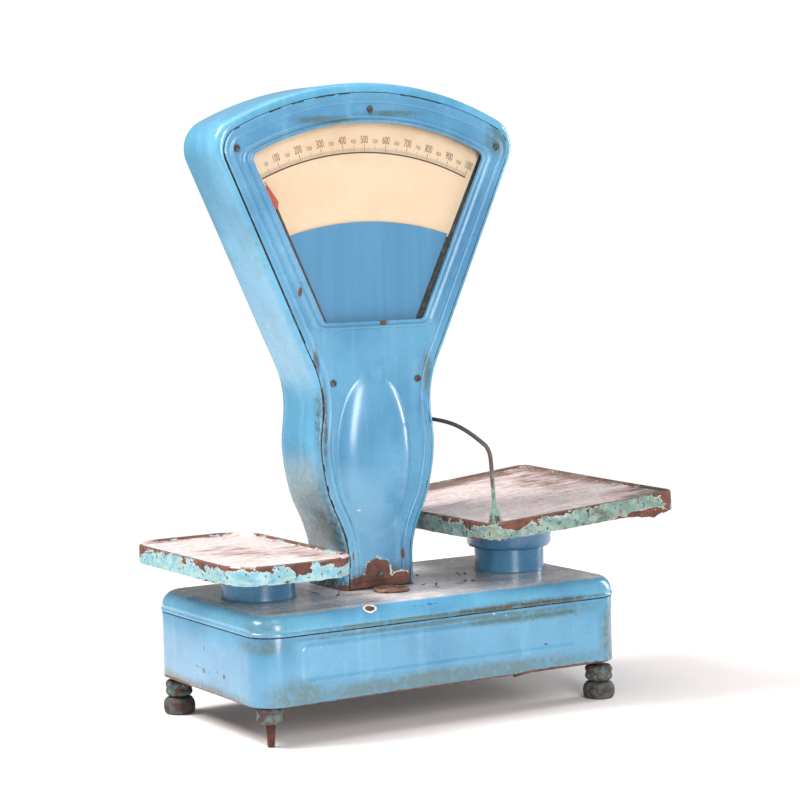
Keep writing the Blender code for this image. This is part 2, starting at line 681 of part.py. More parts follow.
def make_beam(frame):
    """The beam, level at mid travel: its knife edges all lie on the pivot's height."""
    beam = new_empty("beam_pivot", frame, (0, 0, BEAM_Z), (0, BEAM_REST, 0))
    low = 0.0082
    outer = [(-0.196, -0.047), (-0.020, -0.060), (0.020, -0.060), (0.196, -0.047),
             (0.196, 0.047), (0.020, 0.060), (-0.020, 0.060), (-0.196, 0.047)]
    holes = []
    for start, end in ((0.012, 0.188), (-0.040, -0.084), (-0.096, -0.188)):
        near = 0.0513 - 0.068 * abs(start)
        far = 0.0513 - 0.068 * abs(end)
        holes.append([(start, -near), (end, -far), (end, far), (start, near)])
    bm = bmesh.new()
    add_prism(bm, outer, low, low + 0.008, holes=holes)
    main_beam = new_object("main_beam", bm, "cast_iron", beam)
    for x in (-ARM, ARM):
        for y in (-0.0455, 0.0395):
            lug = bmesh.new()
            add_box(lug, (x - 0.006, y, -0.006), (x + 0.006, y + 0.006, low + 0.004))
            boolean(main_beam, lug, "UNION")

    bm = bmesh.new()
    add_prism(bm, [(0.0, 0.0), (0.0045, low - GAP), (-0.0045, low - GAP)], -0.074, 0.074, "Y")
    new_object("fulcrum_knife", bm, "steel", beam)
    for name, x in (("goods_knife", ARM), ("weights_knife", -ARM)):
        bm = bmesh.new()
        add_prism(bm, [(x, 0.0), (x + 0.0035, -0.0060), (x - 0.0035, -0.0060)], -0.0392, 0.0392, "Y")
        new_object(name, bm, "steel", beam)

    bm = bmesh.new()
    y = -0.022
    z = low + 0.004
    add_lathe(bm, [(0.0030, 0.0125), (0.0030, 0.1000)], 12, "X", (0, y, z))
    new_object("tare_rod", bm, "steel", beam)
    bm = bmesh.new()
    add_lathe(bm, [(0.0034, -0.010), (0.0130, -0.010), (0.0140, -0.009), (0.0140, 0.009),
                   (0.0130, 0.010), (0.0034, 0.010)], 20, "X", closed=True)
    new_object("tare_weight", bm, "brass", beam, (0.055, y, z))

    low = SHEET + GAP + PLATE + GAP
    legs = [(-0.0740, low), (0.0740, low), (0.0740, 0.0500), (0.0620, 0.0500), (0.0620, low + 0.005),
            (-0.0620, low + 0.005), (-0.0620, 0.0500), (-0.0740, 0.0500)]
    bm = bmesh.new()
    add_prism(bm, legs, -0.009, 0.009, "X")
    new_object("fulcrum_stand", bm, "cast_iron", frame)
    notch = [(-0.008, 0.0503), (0.008, 0.0503), (0.008, 0.0630), (0.0065, 0.0630),
             (0.0, BEAM_Z - GAP), (-0.0065, 0.0630), (-0.008, 0.0630)]
    for side, y in (("front", -0.0730), ("rear", 0.0630)):
        bm = bmesh.new()
        add_prism(bm, notch, y, y + 0.010, "Y")
        new_object(side + "_fulcrum_bearing", bm, "steel", frame)


def make_stays(frame):
    """The two check rods that keep the stems upright; each turns with the beam."""
    low = SHEET + GAP + PLATE + 0.005 + 2 * GAP
    bm = bmesh.new()
    outline = [(-0.009, low), (0.009, low), (0.009, STAY_Z + 0.002), (0.005, STAY_Z + 0.007),
               (-0.005, STAY_Z + 0.007), (-0.009, STAY_Z + 0.002)]
    add_prism(bm, outline, -0.0045, 0.0045, "Y")
    stand = new_object("stay_stand", bm, "cast_iron", frame)
    pin = bmesh.new()
    add_lathe(pin, [(0.0025, -0.0145), (0.0025, 0.0145)], 12, "Y", (0, 0, STAY_Z))
    boolean(stand, pin, "UNION")
    for name, direction, y in (("goods_stay", 1, 0.0055), ("weights_stay", -1, -0.0115)):
        ends = []
        for a in range(90, 271, 30):
            ends.append((0.0065 * math.cos(math.radians(a)), 0.0065 * math.sin(math.radians(a))))
        for a in range(-90, 91, 30):
            ends.append((ARM + 0.0065 * math.cos(math.radians(a)), 0.0065 * math.sin(math.radians(a))))
        outline = [(x * direction, z) for x, z in ends]
        holes = [circle(0.0029, 12), circle(0.0037, 12, (ARM * direction, 0.0))]
        bm = bmesh.new()
        add_prism(bm, outline, y, y + 0.006, "Y", holes)
        new_object(name, bm, "steel", frame, (0, 0, STAY_Z), (0, BEAM_REST, 0))


def make_damper(frame):
    x, y = DAMPER_PLACE
    bm = bmesh.new()
    section = [(0.0, 0.0), (0.0200, 0.0), (0.0200, 0.0300), (0.0184, 0.0300), (0.0184, 0.0020),
               (0.0, 0.0020)]
    profile = [(max(r, 0.0008), z) for r, z in section]
    add_lathe(bm, profile, 20)
    new_object("damper_cylinder", bm, "brass", frame, (x, y, 0.0071))
    bm = bmesh.new()
    add_lathe(bm, [(0.0165, 0.0060), (0.0165, 0.0085), (0.0022, 0.0090), (0.0022, 0.0552)], 16)
    new_object("damper_piston", bm, "steel", frame, (x, y, 0.0071))


def make_tape(frame):
    """The steel tape that hangs from the drum to the left arm, with its end block."""
    x = TOWER_X - TAPE_RADIUS
    arm_z = BEAM_Z + 0.0162 - x * math.sin(math.radians(BEAM_REST))
    bm = bmesh.new()
    top = PIVOT_Z - 0.0005
    half = 0.0003
    low = arm_z + 0.0020
    outline = [(-half, low + 0.008), (-half, top), (half, top), (half, low + 0.008), (0.004, low + 0.006),
               (0.004, low), (-0.004, low), (-0.004, low + 0.006)]
    add_prism(bm, outline, -0.0025, 0.0025, "Y")
    new_object("pull_tape", bm, "steel", frame, (x, TOWER_Y, 0))


# The pans and what carries them ----------------------------------------------------

def add_tray(bm, size, corner):
    """A pan with a turned-down flange, a rolled rim and a floor PAN_RECESS below the rim."""
    t = PAN_SHEET
    sections = [(-0.0100, -PAN_RECESS), (-0.0070, -PAN_RECESS), (-0.0040, -0.0010), (-0.0025, 0.0),
                (-0.0008, -0.0006), (0.0, -0.0030), (0.0, -PAN_FLANGE), (-t, -PAN_FLANGE),
                (-t, -0.0040), (-0.0035, -0.0025), (-0.0062, -PAN_RECESS - t), (-0.0100, -PAN_RECESS - t)]
    rings = []
    for offset, z in sections:
        rings.append([(x, y, z) for x, y in rounded_rect(*size, corner, offset, 4)])
    add_loft(bm, rings)


def cross_outline(reach_x, reach_y, half_width, offset=(0.0, 0.0)):
    hub = half_width * 2.2
    quarter = [(reach_x, -half_width), (reach_x, half_width), (hub, half_width), (hub, hub),
               (half_width, hub), (half_width, reach_y), (-half_width, reach_y), (-half_width, hub),
               (-hub, hub), (-hub, half_width), (-reach_x, half_width), (-reach_x, -half_width),
               (-hub, -half_width), (-hub, -hub), (-half_width, -hub), (-half_width, -reach_y),
               (half_width, -reach_y), (half_width, -hub), (hub, -hub), (hub, -half_width)]
    return [(x + offset[0], y + offset[1]) for x, y in quarter]


def make_stem(frame, name, x, rest_z, top, skirt_top):
    """A pan's carrier: stem and dust skirt above, then a stirrup that rests on the load knife,
    and a foot with a pin for the check rod."""
    knife_z = BEAM_Z + rest_z
    pin_z = STAY_Z + rest_z
    roof = knife_z + GAP
    outer = [(-0.0130, pin_z + 0.0140), (0.0130, pin_z + 0.0140), (0.0130, roof + 0.0080),
             (-0.0130, roof + 0.0080)]
    window = [(-0.0080, pin_z + 0.0200), (0.0080, pin_z + 0.0200), (0.0080, roof), (-0.0080, roof)]
    bm = bmesh.new()
    add_prism(bm, outer, -0.0060, 0.0060, "Y", [window])
    stem = new_object(name + "_stem", bm, "collar_paint", frame, (x, 0, 0))
    shaft = bmesh.new()
    add_lathe(shaft, [(0.0080, roof + 0.0040), (0.0080, top)], 16)
    boolean(stem, shaft, "UNION")
    foot = bmesh.new()
    add_box(foot, (-0.0050, -0.0051, pin_z - 0.0060), (0.0050, 0.0051, pin_z + 0.0180))
    boolean(stem, foot, "UNION")
    pin = bmesh.new()
    sign = 1 if x > 0 else -1
    ends = sorted((0.0, sign * 0.0130))
    add_lathe(pin, [(0.0025, ends[0]), (0.0025, ends[1])], 10, "Y", (0, 0, pin_z))
    boolean(stem, pin, "UNION")
    low = COLLAR_TOP_Z + 0.0006
    section = [(0.0470, low), (0.0490, low + 0.0008), (0.0505, low + 0.0040),
               (0.0505, skirt_top - 0.003), (0.0480, skirt_top), (0.0060, skirt_top),
               (0.0060, skirt_top - 0.0018), (0.0470, skirt_top - 0.0018),
               (0.0488, skirt_top - 0.0040), (0.0488, low + 0.0045)]
    skirt = bmesh.new()
    add_lathe(skirt, section, 28, closed=True)
    boolean(stem, skirt, "UNION")


def make_goods_side(frame):
    rest_z = -ARM * math.sin(math.radians(BEAM_REST))
    make_stem(frame, "goods", ARM, rest_z, 0.1755, 0.1650)
    seat = new_empty("goods_pan_seat", frame, (GOODS_X, 0, GOODS_RIM_Z), (0, -GOODS_TILT, 0))
    bm = bmesh.new()
    top = -PAN_RECESS - PAN_SHEET - GAP
    add_prism(bm, cross_outline(0.118, 0.140, 0.009), top - 0.004, top)
    new_object("goods_support", bm, "rust", seat)
    bm = bmesh.new()
    add_tray(bm, GOODS_SIZE, 0.016)
    new_object("goods_pan", bm, "pan_enamel", seat)

    guard_x = -0.1068
    half_span = 0.1307
    floor = -PAN_RECESS + GAP
    foot = floor + 0.0100
    half_path = [(half_span, foot), (half_span, 0.040), (half_span, 0.066), (0.1295, 0.0735),
                 (0.1255, 0.0800), (0.118, 0.0850), (0.085, 0.0972), (0.050, 0.1045)]
    path = [(guard_x, -y, z) for y, z in half_path] + [(guard_x, 0, 0.1068)]
    path += [(guard_x, y, z) for y, z in reversed(half_path)]
    bm = bmesh.new()
    add_tube(bm, path, 0.0024, 8)
    guard = new_object("goods_guard", bm, "rust", seat)
    profile = [(0.0080, floor), (0.0082, floor + 0.0018), (0.0072, floor + 0.0030),
               (0.0066, floor + 0.0080), (0.0040, floor + 0.0140), (0.0034, floor + 0.0150)]
    for y in (-half_span, half_span):
        sleeve = bmesh.new()
        add_lathe(sleeve, profile, 14, centre=(guard_x, y, 0))
        boolean(guard, sleeve, "UNION")


def make_weights_side(frame):
    rest_z = ARM * math.sin(math.radians(BEAM_REST))
    floor = WEIGHTS_RIM_Z - PAN_RECESS - PAN_SHEET - GAP
    make_stem(frame, "weights", -ARM, rest_z, floor - 0.0043, floor - 0.0048)
    bm = bmesh.new()
    shift = (WEIGHTS_CENTRE[0] + ARM, WEIGHTS_CENTRE[1])
    add_prism(bm, cross_outline(0.062, 0.122, 0.008, shift), floor - 0.004, floor)
    new_object("weights_support", bm, "rust", frame, (-ARM, 0, 0))
    bm = bmesh.new()
    add_tray(bm, WEIGHTS_SIZE, 0.045)
    new_object("weights_pan", bm, "pan_enamel", frame, (*WEIGHTS_CENTRE, WEIGHTS_RIM_Z))


def main():
    for obj in list(bpy.data.objects):
        bpy.data.objects.remove(obj, do_unlink=True)
    for name, (colour, metallic, roughness) in FINISHES.items():
        material(name, colour, metallic, roughness)
    frame = new_empty("scale_frame", None, (BASE_X, 0, FOOT_HEIGHT))
    make_base(frame)
    make_feet(frame)
    make_lock_lever(frame)
    make_tower(frame)
    make_beam(frame)
    make_stays(frame)
    make_damper(frame)
    make_tape(frame)
    make_goods_side(frame)
    make_weights_side(frame)


main()
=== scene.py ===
"""The looks of the counter dial scale: worn enamel, rust, dial markings and the fine surface."""
import json
import math

import bmesh
import bpy
from mathutils import Matrix, Vector, noise


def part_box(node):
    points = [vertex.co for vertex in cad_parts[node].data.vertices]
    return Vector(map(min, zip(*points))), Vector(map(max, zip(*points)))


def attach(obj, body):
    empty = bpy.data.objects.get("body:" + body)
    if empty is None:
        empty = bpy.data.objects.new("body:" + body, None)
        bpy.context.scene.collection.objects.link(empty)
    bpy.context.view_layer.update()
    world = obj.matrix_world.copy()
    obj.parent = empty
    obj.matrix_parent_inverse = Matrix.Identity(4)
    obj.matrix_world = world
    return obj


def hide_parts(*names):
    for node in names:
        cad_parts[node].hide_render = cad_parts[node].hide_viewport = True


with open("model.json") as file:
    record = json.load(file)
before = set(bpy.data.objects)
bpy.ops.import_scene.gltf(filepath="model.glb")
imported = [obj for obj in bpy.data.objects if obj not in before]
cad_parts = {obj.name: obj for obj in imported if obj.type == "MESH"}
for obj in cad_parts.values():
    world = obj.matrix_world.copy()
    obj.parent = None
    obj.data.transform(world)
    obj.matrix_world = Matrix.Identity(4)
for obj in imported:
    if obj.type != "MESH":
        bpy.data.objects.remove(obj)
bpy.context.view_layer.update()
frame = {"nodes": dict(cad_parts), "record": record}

# Driving dimensions, in metres, in the base's own frame unless a line says otherwise ----

HOUSING_LOW, HOUSING_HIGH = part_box("base_housing")
BASE_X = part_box("base_plate")[0].x / 2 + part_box("base_plate")[1].x / 2
FOOT = HOUSING_LOW.z
BASE_LENGTH = HOUSING_HIGH.x - HOUSING_LOW.x
BASE_DEPTH = 0.2656
BASE_CORNER = 0.032
SEAM_Z = 0.0767
LID_Z = 0.100
LID_ROUND = 0.018
SHEET = 0.0025
GAP = 0.0003

TOWER_X = -0.0284
TOWER_Y = 0.013
TOWER_HALF = 0.0437
TOWER_SIDE = ((0.100, 0.0415), (0.145, 0.0418), (0.172, 0.049), (0.210, 0.065), (0.262, 0.0738),
              (0.312, 0.0702), (0.345, 0.0750), (0.385, 0.0922), (0.585, 0.1828))
TOWER_CORNER = 0.028
TOWER_TOP_Z = 0.6658
TOWER_TOP_RADIUS = 0.385
BAND_SIDE = 0.006
BAND_TOP_FACTOR = 1.78
WINDOW_TOP_Z = 0.6315
WINDOW_TOP_RADIUS = 0.336
WINDOW_TOP = (0.152, 0.5935)
WINDOW_BOTTOM = (0.065, 0.4066)
PIVOT_Z = 0.275
BULGE = (-0.004, 0.254)
BULGE_HALF = (0.048, 0.096)
SCALE_RADIUS = 0.323
SCALE_ANGLE = 24.7
POINTER_REST = -24.35
POINTER_HEAD = 0.288

ARM = 0.1705
COLLAR_RADIUS = 0.0415
COLLAR_TOP_Z = 0.128
GOODS_X = 0.172
GOODS_SIZE = (0.2606, 0.3154)
GOODS_TILT = 4.07
GOODS_RIM_Z = 0.1889
WEIGHTS_CENTRE = (-0.1865, 0.007)
WEIGHTS_SIZE = (0.157, 0.278)
WEIGHTS_RIM_Z = 0.1555
PAN_FLANGE = 0.022
PAN_RECESS = 0.004
PAN_SHEET = 0.0016

SCREW_PLACES = {
    "top_left": (-0.1702, 0.6033),
    "top_right": (0.1702, 0.6033),
    "top": (0.0, 0.6463),
    "waist_left": (-0.0556, 0.3381),
    "waist_right": (0.0556, 0.3381),
    "foot": (0.0, 0.115),
}

BASE_PLACE = Matrix.Translation((BASE_X, 0, FOOT))
TOWER_PLACE = BASE_PLACE @ Matrix.Translation((TOWER_X, TOWER_Y, 0))
REAR_PLACE = TOWER_PLACE @ Matrix.Rotation(math.pi, 4, "Z")
GOODS_PLACE = (BASE_PLACE @ Matrix.Translation((GOODS_X, 0, GOODS_RIM_Z))
               @ Matrix.Rotation(math.radians(-GOODS_TILT), 4, "Y"))
WEIGHTS_PLACE = BASE_PLACE @ Matrix.Translation((*WEIGHTS_CENTRE, WEIGHTS_RIM_Z))


# Outlines, as lists of points ------------------------------------------------------

def rounded_rect(width, depth, radius, offset=0.0, steps=12, straight=1):
    """Anticlockwise rounded rectangle, moved outward by offset, its sides cut into straight parts."""
    r = max(radius + offset, 0.0005)
    half_w = width / 2 + offset - r
    half_d = depth / 2 + offset - r
    points = []
    for corner, (sx, sy) in enumerate(((1, 1), (-1, 1), (-1, -1), (1, -1))):
        for i in range(steps + 1):
            a = math.radians(90 * corner + 90 * i / steps)
            points.append((sx * half_w + r * math.cos(a), sy * half_d + r * math.sin(a)))
    if straight == 1:
        return points
    whole = []
    for k, (a, b) in enumerate(zip(points, points[1:] + points[:1])):
        whole.append(a)
        if (k + 1) % (steps + 1) == 0:
            for i in range(1, straight):
                t = i / straight
                whole.append((a[0] + (b[0] - a[0]) * t, a[1] + (b[1] - a[1]) * t))
    return whole


def circle(radius, segments, centre=(0.0, 0.0)):
    return [(centre[0] + radius * math.cos(2 * math.pi * i / segments),
             centre[1] + radius * math.sin(2 * math.pi * i / segments)) for i in range(segments)]


def ellipse(half_w, half_h, centre, segments, scale=1.0):
    return [(centre[0] + scale * half_w * math.cos(2 * math.pi * i / segments),
             centre[1] + scale * half_h * math.sin(2 * math.pi * i / segments)) for i in range(segments)]


def spline(knots, t):
    """Hermite curve through (z, value) knots: the value and its slope at height t."""
    last = len(knots) - 1

    def slope(k):
        a = knots[max(k - 1, 0)]
        b = knots[min(k + 1, last)]
        return (b[1] - a[1]) / (b[0] - a[0])

    i = 0
    while i < last - 1 and t > knots[i + 1][0]:
        i += 1
    (z0, v0), (z1, v1) = knots[i], knots[i + 1]
    h = z1 - z0
    s = (t - z0) / h
    m0 = 0.0 if i == 0 else slope(i) * h
    m1 = (v1 - v0 if i + 1 == last else slope(i + 1) * h)
    value = ((2 * s**3 - 3 * s**2 + 1) * v0 + (s**3 - 2 * s**2 + s) * m0
             + (-2 * s**3 + 3 * s**2) * v1 + (s**3 - s**2) * m1)
    rate = ((6 * s**2 - 6 * s) * v0 + (3 * s**2 - 4 * s + 1) * m0
            + (-6 * s**2 + 6 * s) * v1 + (3 * s**2 - 2 * s) * m1) / h
    return value, rate


def corner_arc(line_point, line_dir, arc_z, arc_radius, radius, steps):
    """Points of the fillet between a straight side and a top arc centred on the axis."""
    inward = Vector((-line_dir[1], line_dir[0]))
    start = Vector(line_point) + inward * radius
    direction = Vector(line_dir)
    to_start = start - Vector((0.0, arc_z))
    b = to_start.dot(direction)
    c = to_start.length_squared - (arc_radius - radius) ** 2
    centre = start + direction * (-b + math.sqrt(b * b - c))
    first = math.atan2(-inward[1], -inward[0])
    out = centre - Vector((0.0, arc_z))
    last = math.atan2(out[1], out[0])
    angles = [first + (last - first) * i / steps for i in range(steps + 1)]
    return [(centre[0] + radius * math.cos(a), centre[1] + radius * math.sin(a)) for a in angles]


def tower_outline(offset, lift=0.0, side_steps=90, corner_steps=14, top_steps=70):
    """The tower's outline from its right foot, lifted by lift, over the top to its left foot."""
    foot_z = TOWER_SIDE[0][0] + GAP + lift
    z_a, w_a = TOWER_SIDE[-2]
    z_b, w_b = TOWER_SIDE[-1]
    direction = Vector((w_b - w_a, z_b - z_a)).normalized()
    out = Vector((direction[1], -direction[0]))
    line_point = Vector((w_a, z_a)) + out * offset
    arc_radius = TOWER_TOP_RADIUS + offset * (BAND_TOP_FACTOR if offset > 0 else 1.0)
    arc_z = TOWER_TOP_Z - TOWER_TOP_RADIUS
    fillet = corner_arc(line_point, direction, arc_z, arc_radius, TOWER_CORNER + offset, corner_steps)
    right = []
    for i in range(side_steps):
        z = foot_z + (z_a - foot_z) * i / (side_steps - 1)
        width, rate = spline(TOWER_SIDE, z)
        right.append((width + offset * math.sqrt(1 + rate * rate), z))
    right += fillet
    end_angle = math.atan2(fillet[-1][0], fillet[-1][1] - arc_z)
    top = []
    for i in range(1, top_steps):
        a = end_angle * (1 - 2 * i / top_steps)
        top.append((arc_radius * math.sin(a), arc_z + arc_radius * math.cos(a)))
    left = [(-x, z) for x, z in reversed(right)]
    return right + top + left


def window_outline(offset, corner_steps=10, top_steps=60):
    """The window's closed outline, moved outward by offset, as (x, z)."""
    side = Vector((WINDOW_TOP[0] - WINDOW_BOTTOM[0], WINDOW_TOP[1] - WINDOW_BOTTOM[1])).normalized()
    out = Vector((side[1], -side[0]))
    line_point = Vector(WINDOW_BOTTOM) + out * offset
    arc_z = WINDOW_TOP_Z - WINDOW_TOP_RADIUS
    arc_radius = WINDOW_TOP_RADIUS + offset
    top_fillet = corner_arc(line_point, side, arc_z, arc_radius, 0.008 + offset, corner_steps)
    bottom_z = WINDOW_BOTTOM[1] - offset
    r = 0.006 + offset
    half_angle = math.atan2(side[0], side[1])
    turn = math.pi / 2 - half_angle
    reach = r * math.tan(turn / 2)
    foot = line_point + side * ((bottom_z - line_point[1]) / side[1])
    centre = Vector((foot[0] - reach, bottom_z + r))
    right = []
    for i in range(corner_steps + 1):
        a = -math.pi / 2 + turn * i / corner_steps
        right.append((centre[0] + r * math.cos(a), centre[1] + r * math.sin(a)))
    right += top_fillet
    end_angle = math.atan2(top_fillet[-1][0], top_fillet[-1][1] - arc_z)
    top = []
    for i in range(1, top_steps):
        a = end_angle * (1 - 2 * i / top_steps)
        top.append((arc_radius * math.sin(a), arc_z + arc_radius * math.cos(a)))
    return right + top + [(-x, z) for x, z in reversed(right)]


# Mesh builders: each adds to a bmesh --------------------------------------------------

def add_loft(bm, rings, closed=False):
    """Skin a list of equal rings of points; the ends are capped unless the loft closes on itself."""
    rows = [[bm.verts.new(p) for p in ring] for ring in rings]
    count = len(rows[0])
    pairs = list(zip(rows, rows[1:]))
    if closed:
        pairs.append((rows[-1], rows[0]))
    faces = []
    for low, high in pairs:
        for i in range(count):
            j = (i + 1) % count
            faces.append(bm.faces.new((low[i], low[j], high[j], high[i])))
    if not closed:
        faces.append(bm.faces.new(list(reversed(rows[0]))))
        faces.append(bm.faces.new(rows[-1]))
    bmesh.ops.recalc_face_normals(bm, faces=faces)


AXES = {
    "Z": lambda u, v, w: (u, v, w),
    "Y": lambda u, v, w: (u, w, v),
    "X": lambda u, v, w: (w, u, v),
}


def add_lathe(bm, profile, segments, axis="Z", centre=(0.0, 0.0, 0.0), closed=False):
    """Turn a profile of (radius, height) about an axis through centre."""
    place = AXES[axis]
    rings = []
    for radius, height in profile:
        ring = [Vector(place(x, y, height)) + Vector(centre) for x, y in circle(radius, segments)]
        rings.append(ring)
    add_loft(bm, rings, closed)


def add_prism(bm, outline, low, high, axis="Z", holes=(), centre=(0.0, 0.0, 0.0)):
    """A flat plate with holes: the outlines are filled at low and at high and joined by walls."""
    place = AXES[axis]
    offset = Vector(centre)
    faces = []
    levels = []
    for height in (low, high):
        loops = []
        edges = []
        for loop in (outline, *holes):
            verts = [bm.verts.new(Vector(place(x, y, height)) + offset) for x, y in loop]
            edges += [bm.edges.new((a, b)) for a, b in zip(verts, verts[1:] + verts[:1])]
            loops.append(verts)
        if holes:
            filled = bmesh.ops.triangle_fill(bm, use_beauty=True, edges=edges)
            faces += [f for f in filled["geom"] if isinstance(f, bmesh.types.BMFace)]
        else:
            faces.append(bm.faces.new(loops[0]))
        levels.append(loops)
    for below, above in zip(*levels):
        for i in range(len(below)):
            j = (i + 1) % len(below)
            faces.append(bm.faces.new((below[i], below[j], above[j], above[i])))
    bmesh.ops.recalc_face_normals(bm, faces=faces)


def add_box(bm, low, high):
    (x0, y0, z0), (x1, y1, z1) = low, high
    add_prism(bm, [(x0, y0), (x1, y0), (x1, y1), (x0, y1)], z0, z1)


def add_tube(bm, path, radius, sides):
    """A round bar along a path; each ring stands square to the path."""
    points = [Vector(p) for p in path]
    rings = []
    side = None
    for i, point in enumerate(points):
        ahead = points[min(i + 1, len(points) - 1)] - points[max(i - 1, 0)]
        ahead.normalize()
        if side is None:
            side = ahead.orthogonal().normalized()
        side = (side - ahead * side.dot(ahead)).normalized()
        other = ahead.cross(side)
        ring = []
        for k in range(sides):
            a = 2 * math.pi * k / sides
            ring.append(point + radius * (math.cos(a) * side + math.sin(a) * other))
        rings.append(ring)
    add_loft(bm, rings)


# Finishes -----------------------------------------------------------------------------

def rgb(red, green, blue):
    """A linear colour from the 0 to 255 values that a colour picker shows."""
    values = []
    for c in (red, green, blue):
        c /= 255
        values.append(c / 12.92 if c <= 0.04045 else ((c + 0.055) / 1.055) ** 2.4)
    return (*values, 1.0)


PAINT = rgb(91, 148, 182)
PAINT_DEEP = rgb(69, 125, 164)
PAINT_PALE = rgb(132, 184, 200)
PATINA = rgb(78, 132, 142)
GRIME_AND_SHADE = rgb(76, 98, 92)
DIRT = rgb(66, 62, 48)
SOOT = rgb(42, 40, 38)
PRIMER = rgb(226, 222, 210)
RUST_DARK = rgb(52, 32, 28)
RUST = rgb(88, 52, 42)
RUST_BRIGHT = rgb(122, 76, 56)


class Shader:
    """A material's node tree, built up by calls that return output sockets."""

    def __init__(self, name):
        self.material = bpy.data.materials.new(name)
        self.material.use_nodes = True
        self.tree = self.material.node_tree
        self.tree.nodes.clear()
        self.place = self.add("TexCoord").outputs["Object"]

    def add(self, kind, inputs=None, **settings):
        node = self.tree.nodes.new("ShaderNode" + kind)
        for key, value in settings.items():
            setattr(node, key, value)
        for key, value in (inputs or {}).items():
            if isinstance(value, bpy.types.NodeSocket):
                self.tree.links.new(value, node.inputs[key])
            else:
                node.inputs[key].default_value = value
        return node

    def math(self, operation, a, b=0.0):
        return self.add("Math", {0: a, 1: b}, operation=operation, use_clamp=True).outputs[0]

    def plus(self, a, b):
        return self.math("ADD", a, b)

    def times(self, a, b):
        return self.math("MULTIPLY", a, b)

    def less(self, a, b):
        return self.math("SUBTRACT", a, b)

    def most(self, *values):
        result = values[0]
        for value in values[1:]:
            result = self.math("MAXIMUM", result, value)
        return result

    def step(self, value, low, high):
        """0 at low, 1 at high, smooth between; low may be above high."""
        if low > high:
            return self.less(1.0, self.step(value, high, low))
        ranges = {"Value": value, "From Min": low, "From Max": high}
        return self.add("MapRange", ranges, interpolation_type="SMOOTHSTEP").outputs[0]

    def noise(self, scale, detail=4.0, roughness=0.55, stretch=None, distortion=0.0):
        vector = self.place
        if stretch:
            vector = self.add("VectorMath", {0: vector, 1: stretch}, operation="MULTIPLY").outputs[0]
        inputs = {"Vector": vector, "Scale": scale, "Detail": detail, "Roughness": roughness,
                  "Distortion": distortion}
        return self.add("TexNoise", inputs).outputs["Fac"]

    def mix(self, factor, a, b):
        return self.add("Mix", {0: factor, 6: a, 7: b}, data_type="RGBA").outputs[2]

    def axis(self, index):
        return self.add("SeparateXYZ", {0: self.place}).outputs[index]

    def occlusion(self, distance):
        """How closed in a point is: 0 in the open, towards 1 in a crevice."""
        node = self.add("AmbientOcclusion", {"Distance": distance}, samples=6)
        return self.less(1.0, node.outputs["AO"])

    def near(self, centre, radii, ragged=None):
        """Distance from a centre, as a share of the radii; ragged noise breaks its outline up."""
        offset = self.add("VectorMath", {0: self.place, 1: centre}, operation="SUBTRACT").outputs[0]
        scaled = {0: offset, 1: [1 / r for r in radii]}
        offset = self.add("VectorMath", scaled, operation="MULTIPLY").outputs[0]
        length = self.add("VectorMath", {0: offset}, operation="LENGTH").outputs["Value"]
        if ragged is None:
            return length
        return self.add("Math", {0: length, 1: ragged}, operation="ADD").outputs[0]

    def finish(self, colour, roughness, height=None, depth=0.0005, **shader):
        inputs = {"Base Color": colour, "Roughness": roughness}
        if height is not None:
            bump = {"Height": height, "Distance": depth, "Strength": 1.0}
            inputs["Normal"] = self.add("Bump", bump).outputs[0]
        for key, value in shader.items():
            inputs[key.replace("_", " ").title().replace("Ior", "IOR")] = value
        bsdf = self.add("BsdfPrincipled", inputs)
        self.add("OutputMaterial", {"Surface": bsdf.outputs[0]})
        return self.material


def rust_colour(s):
    fine = s.noise(190.0, 6.0, 0.7)
    broad = s.noise(46.0, 4.0, 0.6)
    return s.mix(s.step(broad, 0.40, 0.62), s.mix(fine, RUST_DARK, RUST), s.mix(fine, RUST, RUST_BRIGHT))


def placed_mask(s, marks, kind, low, high, ragged=None):
    """The union of one kind of placed marks: 0 at low and 1 at high, as shares of each mark's radii."""
    masks = [s.step(s.near(centre, radii, ragged), low, high) for k, centre, radii in marks if k == kind]
    return s.most(*masks) if masks else None


